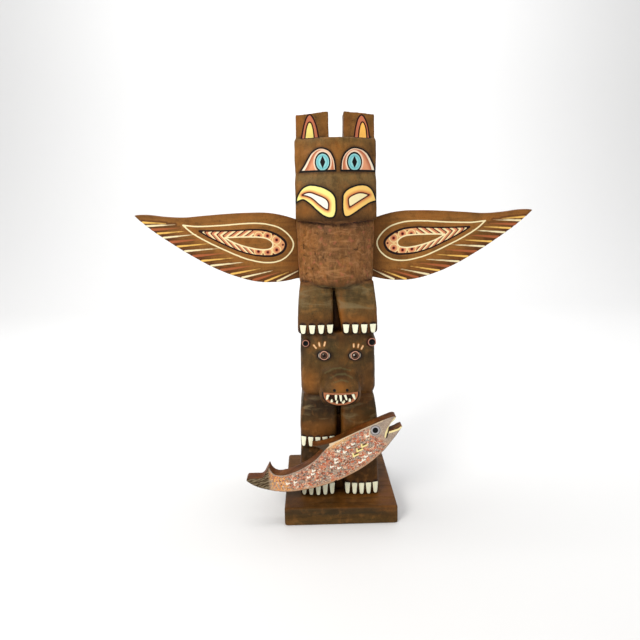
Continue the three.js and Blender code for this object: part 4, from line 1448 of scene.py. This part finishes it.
cream_edge = log.maths("MULTIPLY_ADD", outer_corner, -1.7, -1.5)
log.shade(eye, 3.4, 0.8, 0.6, (48, 32, 16), near_foot)
log.fill(eye, 1.0, BLACK, within=above_foot)
log.fill(eye, -0.6, log.mix(outer_corner, (242, 206, 174), CREAM), within=above_foot)
past_cream = log.maths("SUBTRACT", eye, cream_edge)
log.fill(past_cream, 0, (184, 108, 76), 0.5, above_foot)
log.shade(past_cream, -0.8, -4.4, 1, (232, 160, 120), above_foot)
ring_near = log.times(log.inside(iris, 2.4, 0.8), log.inside(eye, -1.2))
log.lay(log.times(above_foot, ring_near), (248, 216, 188))
on_lid = log.times(log.inside(eye, 0.4), log.past("Z", EYE_FOOT - 1, EYE_FOOT - 0.6))
log.fill(iris, 1.1, (22, 34, 30), within=on_lid)
log.fill(iris, -0.3, (152, 214, 214), within=on_lid)
log.lay(log.times(on_lid, log.band(iris, -2.4, -1.2, 0.9)), (112, 186, 192))
log.fill(log.brushed("pupil", 0.2), 0.15, (24, 26, 24))
foot_band = log.band(log.axis("Z"), (EYE_FOOT - 2.1) * MM, (EYE_FOOT - 0.2) * MM, 0.5 * MM)
log.fill(eye, 0.8, (24, 16, 10), 0.8, foot_band)

bill = log.brushed("bill_rim")
gape = log.brushed("bill_gape", 0.3)
in_bill = log.inside(bill, -0.6)
log.shade(bill, 4.0, 0.8, 0.6, (54, 38, 20))
log.fill(bill, 1.05, BLACK)
log.lay(in_bill, yellow)
log.shade(gape, 3.9, 1.6, 0.9, orange, in_bill)
log.shade(gape, 2.1, 1.2, 0.7, (202, 128, 84), in_bill)
log.fill(gape, 0.85, (84, 34, 22), within=in_bill)
# The gape's white is painted darker on the right, as painted shade
log.fill(gape, -0.5, log.mix(to_right, (255, 255, 236), (252, 238, 184)))

arch = log.brushed("horn_arch", 0.3)
arch_fill = log.brushed("horn_fill", 0.3)
above_brow = log.past("Z", 385, 386)
log.fill(arch, 0.8, (48, 20, 14), within=above_brow)
log.fill(arch, -0.7, (196, 116, 84), within=above_brow)
log.fill(arch_fill, 0.8, (58, 22, 16), within=above_brow)
# The horn's yellow is painted darker and more orange on the right, as painted shade
horn_yellow = log.mix(to_right, (254, 234, 134), (255, 192, 96))
log.fill(arch_fill, -0.6, horn_yellow, within=above_brow)

bear_iris = log.brushed("bear_iris", 0.3)
bear_lid = log.brushed("bear_lid", 0.5)
log.shade(bear_lid, 2.6, 0.4, 0.6, (40, 32, 20))
log.fill(bear_lid, 0.1, (34, 26, 18), 0.4)
log.fill(bear_lid, -1.0, (186, 172, 154), 0.5)
log.fill(bear_iris, 5.0, (36, 24, 18))
log.fill(bear_iris, 4.5, (216, 160, 134))
log.fill(bear_iris, 3.75, (40, 24, 20))
log.lay(log.band(bear_iris, 1.9, 3.0, 0.6), (92, 70, 56))
log.fill(log.read("bear_glint"), 0, (206, 200, 186), 0.4)
brow = log.brushed("bear_brow", 0.4)
log.fill(brow, 1.15, (172, 108, 52), 0.6)
log.fill(brow, 0.65, (246, 206, 158), 0.5)
wrinkle = log.inside(log.brushed("bear_wrinkle", 2.0), 0.5, 1.2)
log.lay(log.times(wrinkle, 0.5), (112, 106, 72))
bear_ear = log.read("bear_ear")
on_ear = log.past("Y", -31, -32)
for share, paint in ((1.15, (62, 34, 22)), (0.82, (196, 138, 116)), (0.66, (22, 13, 10))):
    log.fill(bear_ear, share, paint, 0.1, on_ear)

bear_mouth = log.brushed("bear_mouth", 0.4)
on_snout = log.past("Y", -36, -38)
below_lip = log.times(on_snout, log.past("Z", 135.4, 134.6))
inside_mouth = log.times(on_snout, log.past("Z", 133.2, 132.8))
log.fill(bear_mouth, 0.9, (30, 18, 12), 0.5, below_lip)
log.fill(bear_mouth, -0.1, (182, 118, 84), 0.4, below_lip)
log.fill(bear_mouth, -2.1, (58, 36, 20), 0.5, inside_mouth)
log.fill(log.read("nostril"), 1.5, (22, 14, 10), 0.5)

# Dark round each claw: its black outline, and painted shade in the slits between the claws
log.shade(log.read("claw_edge"), 2.2, 0.6, 0.85, (38, 24, 14))
log.finish_off(log.coat, relief)
log.give(pole)
print("log's nodes:", len(log.tree.nodes))

# %% Ivory paint for claws and teeth
ivory = Finish("ivory_paint", roughness=0.42)
brushing = ivory.noise(420, stretch=(1, 1, 0.25), detail=4)
ivory_colour = ivory.mix(ivory.range(brushing, 0.4, 0.65), (254, 254, 226), (244, 238, 204))
ivory.finish_off(ivory_colour, ivory.bump(brushing, 0.1, 0.4))
for piece in claws + teeth:
    ivory.give(piece)
    piece.data.polygons.foreach_set("use_smooth", [True] * len(piece.data.polygons))
pole = glue("carved_pole", [pole, *claws, *teeth])
print("pole:", triangles(pole), "triangles,", len(pole.data.materials), "finishes")

# %% The plinth's finish
plinth_wood = Finish("stained_plinth_wood")
height = plinth_wood.maths("MULTIPLY_ADD", plinth_wood.noise(60, stretch=(0.15, 1, 1)), 2 * MM,
                           plinth_wood.axis("Z"))
PLINTH_STAINS = [(0.1, (98, 74, 42)), (0.5, (90, 66, 38)), (0.66, (74, 60, 41)), (0.86, (76, 59, 40)),
                 (0.93, (100, 66, 34)), (1, (104, 70, 29))]
plinth_base = plinth_wood.ramp(plinth_wood.range(height, 0, 20 * MM), PLINTH_STAINS)
relief = stained_wood(plinth_wood, plinth_base, (0.12, 1, 1), patch=0.25)
on_top = plinth_wood.past("Z", 16.4, 17.2)
plinth_wood.shade(plinth_wood.noise(14, detail=2), 0.46, 0.34, 0.6, (62, 48, 32), on_top)
plinth_wood.finish_off(plinth_wood.coat, relief)
plinth_wood.give(plinth)

# %% [markdown]
# The wings' wood is warmer than the log's, with its grain along the board. The sawn edge is
# darker than the face.

# %% The wings' finish
board = Finish("painted_wing_wood")
relief = stained_wood(board, (150, 102, 53), (0.1, 1, 1), patch=0.34, fibre=0.3)
edge = board.read("board_edge")
board.shade(edge, -5, 0, 0.35, (72, 40, 18))
# Towards the log the wing is painted darker, as painted shade where it meets the log
out = board.maths("ABSOLUTE", board.axis("X"))
board.shade(out, 62 * MM, 42 * MM, 0.5, (84, 50, 22))
wood = board.coat

stroke = board.brushed("stroke", 0.5)
tone = board.read("stroke_tone")
between = board.times(board.band(stroke, 0.1, 2.0, 1.2), board.range(edge, -18, -3))
board.lay(board.times(between, 0.7), (66, 34, 14))
stroke_paint = board.mix(board.range(tone, 0.3, 0.7), (246, 196, 104), (252, 236, 190))
stroke_paint = board.mix(board.range(tone, 1.3, 1.7), stroke_paint, (172, 98, 62))
board.fill(stroke, 0.1, stroke_paint, 0.7)

cream = board.brushed("drop_cream", 0.4)
black = board.brushed("drop_black", 0.4)
inner = board.brushed("drop_inner", 0.3)
board.lay(board.band(cream, -0.7, 0.7), (252, 236, 186))
board.fill(black, 1.0, (40, 18, 12))
thick_end = board.range(out, 90 * MM, 58 * MM, -0.6, -1.6)
in_band = board.inside(board.maths("SUBTRACT", black, thick_end), 0)

BAR_PITCH = 6.4
bar_share = board.maths("FRACT", board.maths("DIVIDE", board.read("bars"), BAR_PITCH))
bar_paint = board.ramp(bar_share, [
    (0.0, (252, 232, 180)), (0.16, (252, 226, 170)), (0.24, (224, 148, 108)), (0.44, (206, 122, 88)),
    (0.54, (226, 160, 110)), (0.6, (92, 30, 24)), (0.78, (92, 30, 24)), (0.84, (250, 222, 166)),
    (1.0, (252, 232, 180))])
ring = board.brushed("ring", 0.3)
seed = board.inside(board.read("seed"), 1.2, 0.5)
ring_paint = board.mix(seed, (226, 162, 112), (96, 26, 24))
for radius, soft, paint in (
        (4.9, 0.5, (250, 220, 156)), (3.9, 0.6, (226, 158, 112)), (2.2, 0.8, (196, 104, 74)),
        (1.4, 0.4, (76, 20, 20))):
    ring_paint = board.mix(board.inside(ring, radius, soft), ring_paint, paint)
band_paint = board.mix(board.range(out, 87 * MM, 86.6 * MM), bar_paint, ring_paint)
board.lay(in_band, band_paint)
board.fill(inner, 0.9, (253, 236, 186))
board.fill(inner, -0.5, wood)
board.finish_off(board.coat, relief)
for wing in wings:
    board.give(wing)
print("wings' nodes:", len(board.tree.nodes))

# %% [markdown]
# The salmon's dabs are cells of random colour, small enough to look like brush dabs, over a
# silver grey ground.

# %% The salmon's finish
fish = Finish("painted_salmon_board", roughness=0.4)
forward = fish.read("fish_along")
upward = fish.read("fish_up")
plane = fish.node("CombineXYZ")
fish.set(plane.inputs["X"], forward)
fish.set(plane.inputs["Y"], upward)
on_fish = plane.outputs[0]
relief = stained_wood(fish, (112, 66, 36), (0.2, 1, 1), patch=0.4)
edge_wood = fish.coat
front = fish.past("Y", FISH_FRONT + 1.1, FISH_FRONT + 0.6)

cloud = fish.noise(0.35, start=on_fish, detail=4)
fish.coat = fish.mix(fish.range(cloud, 0.35, 0.65), (150, 134, 120), (184, 162, 142))
blots = fish.noise(3.2, start=on_fish, detail=3)
fish.shade(blots, 0.5, 0.7, 0.6, (206, 186, 166))
fish.shade(blots, 0.5, 0.3, 0.6, (124, 108, 98))


def lay_dabs(scale, stretch, reach, paints):
    """Brush dabs of several paints: cells of random colour, each filled to a reach."""
    cell = fish.cells(scale, stretch=stretch, start=on_fish)
    tone = fish.node("SeparateColor")
    fish.set(tone.inputs[0], cell.outputs["Color"])
    stops = [(number / len(paints), paint) for number, paint in enumerate(paints)]
    picked = fish.ramp(tone.outputs[0], stops, "CONSTANT")
    chosen = fish.times(fish.inside(cell.outputs["Distance"], reach, 0.1),
                        fish.range(tone.outputs[1], 0.12, 0.2))
    fish.lay(fish.times(dab_area, chosen), picked)


amid = fish.range(fish.read("fish_edge"), -0.7, -2.4)
before_head = fish.range(fish.maths("MULTIPLY_ADD", upward, 0.5, forward), 35, 32.6)
after_tail = fish.range(forward, 5.4, 7)
dab_area = fish.times(amid, fish.times(before_head, after_tail))
lay_dabs(1.5, (0.85, 1.1, 1), 0.62, [
    (188, 104, 76), (214, 134, 104), (150, 128, 114), (204, 150, 122), (142, 92, 74), (206, 122, 90),
    (228, 184, 152)])
lay_dabs(2.2, (0.8, 1.15, 1), 0.46, [
    (232, 214, 192), (176, 88, 62), (120, 84, 66), (222, 150, 118), (150, 140, 132), (196, 112, 82),
    (110, 96, 84)])
lay_dabs(3.4, (0.8, 1.2, 1), 0.38, [
    (240, 214, 186), (150, 74, 52), (96, 76, 64), (210, 128, 92), (226, 176, 132), (128, 112, 102)])
belly = fish.range(fish.read("fish_belly"), 3.6, 0.4, 0, 0.8)
fish.shade(forward, 38, 31, 0.6, (222, 164, 112), belly)
back = fish.range(fish.read("fish_back"), 6.5, 1.5)
warm_back = fish.times(back, fish.band(forward, 22.4, 28, 3.5))
fish.shade(blots, 0.36, 0.5, 1, (246, 196, 132), warm_back)
fish.fill(fish.read("fish_back"), 1.3, (226, 202, 168), 0.8)
root_dabs = fish.noise(2.6, start=on_fish, detail=2)
tail_root = fish.times(fish.band(forward, 5.2, 9.6, 1.4), amid)
fish.shade(root_dabs, 0.5, 0.58, 1, (240, 172, 96), tail_root)
streaks = fish.noise(1.8, start=on_fish, stretch=(0.35, 1.6, 1), detail=3)
tail_paint = fish.mix(fish.range(streaks, 0.42, 0.62), (66, 52, 38), (140, 124, 98))
lean_along = fish.maths("SUBTRACT", forward, fish.times(upward, 0.35))
fish.shade(lean_along, 6.7, 5.9, 1, tail_paint)
fish.fill(fish.read("fish_fin"), 0.3, (82, 68, 54), 0.8)

for name, reach, soft, paint in (
        ("fish_gold_shade", 0.9, 0.6, (92, 76, 38)), ("fish_gold", 0.75, 0.4, (252, 232, 158)),
        ("fish_cream", 0.65, 0.4, (252, 246, 228)), ("fish_eye", 6.2, 1.2, (176, 164, 152)),
        ("fish_eye", 5.1, 0.5, (104, 92, 88)), ("fish_eye", 4.4, 0.5, (178, 174, 174)),
        ("fish_eye", 2.9, 0.5, (22, 22, 26)), ("fish_gill", 0.6, 0.5, (226, 208, 178))):
    fish.fill(fish.read(name), reach, paint, soft)
fish.coat = fish.mix(fish.inside(fish.read("fish_edge"), -0.5, 0.5), (84, 60, 42), fish.coat)
for name, reach, soft, paint in (
        ("fish_jaws", 0.85, 0.4, (244, 226, 166)), ("fish_smile", 0.7, 0.4, (44, 30, 20)),
        ("fish_pelvic", 1.2, 0.6, (66, 54, 44))):
    fish.fill(fish.read(name), reach, paint, soft)
fish.finish_off(fish.mix(front, edge_wood, fish.coat), relief)
fish.give(salmon)

# %% The card's finish
card_finish = Finish("pale_card", roughness=0.9)
card_finish.set(card_finish.shader.inputs["Base Color"], (246, 246, 246))
card_finish.give(floor)

# %% Hand over the pieces
for piece, node in (
    (plinth, "base"), (pole, "pole"), (wings[0], "left_wing"), (wings[1], "right_wing"),
    (salmon, "salmon")):
    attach(piece, "root")
    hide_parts(node)
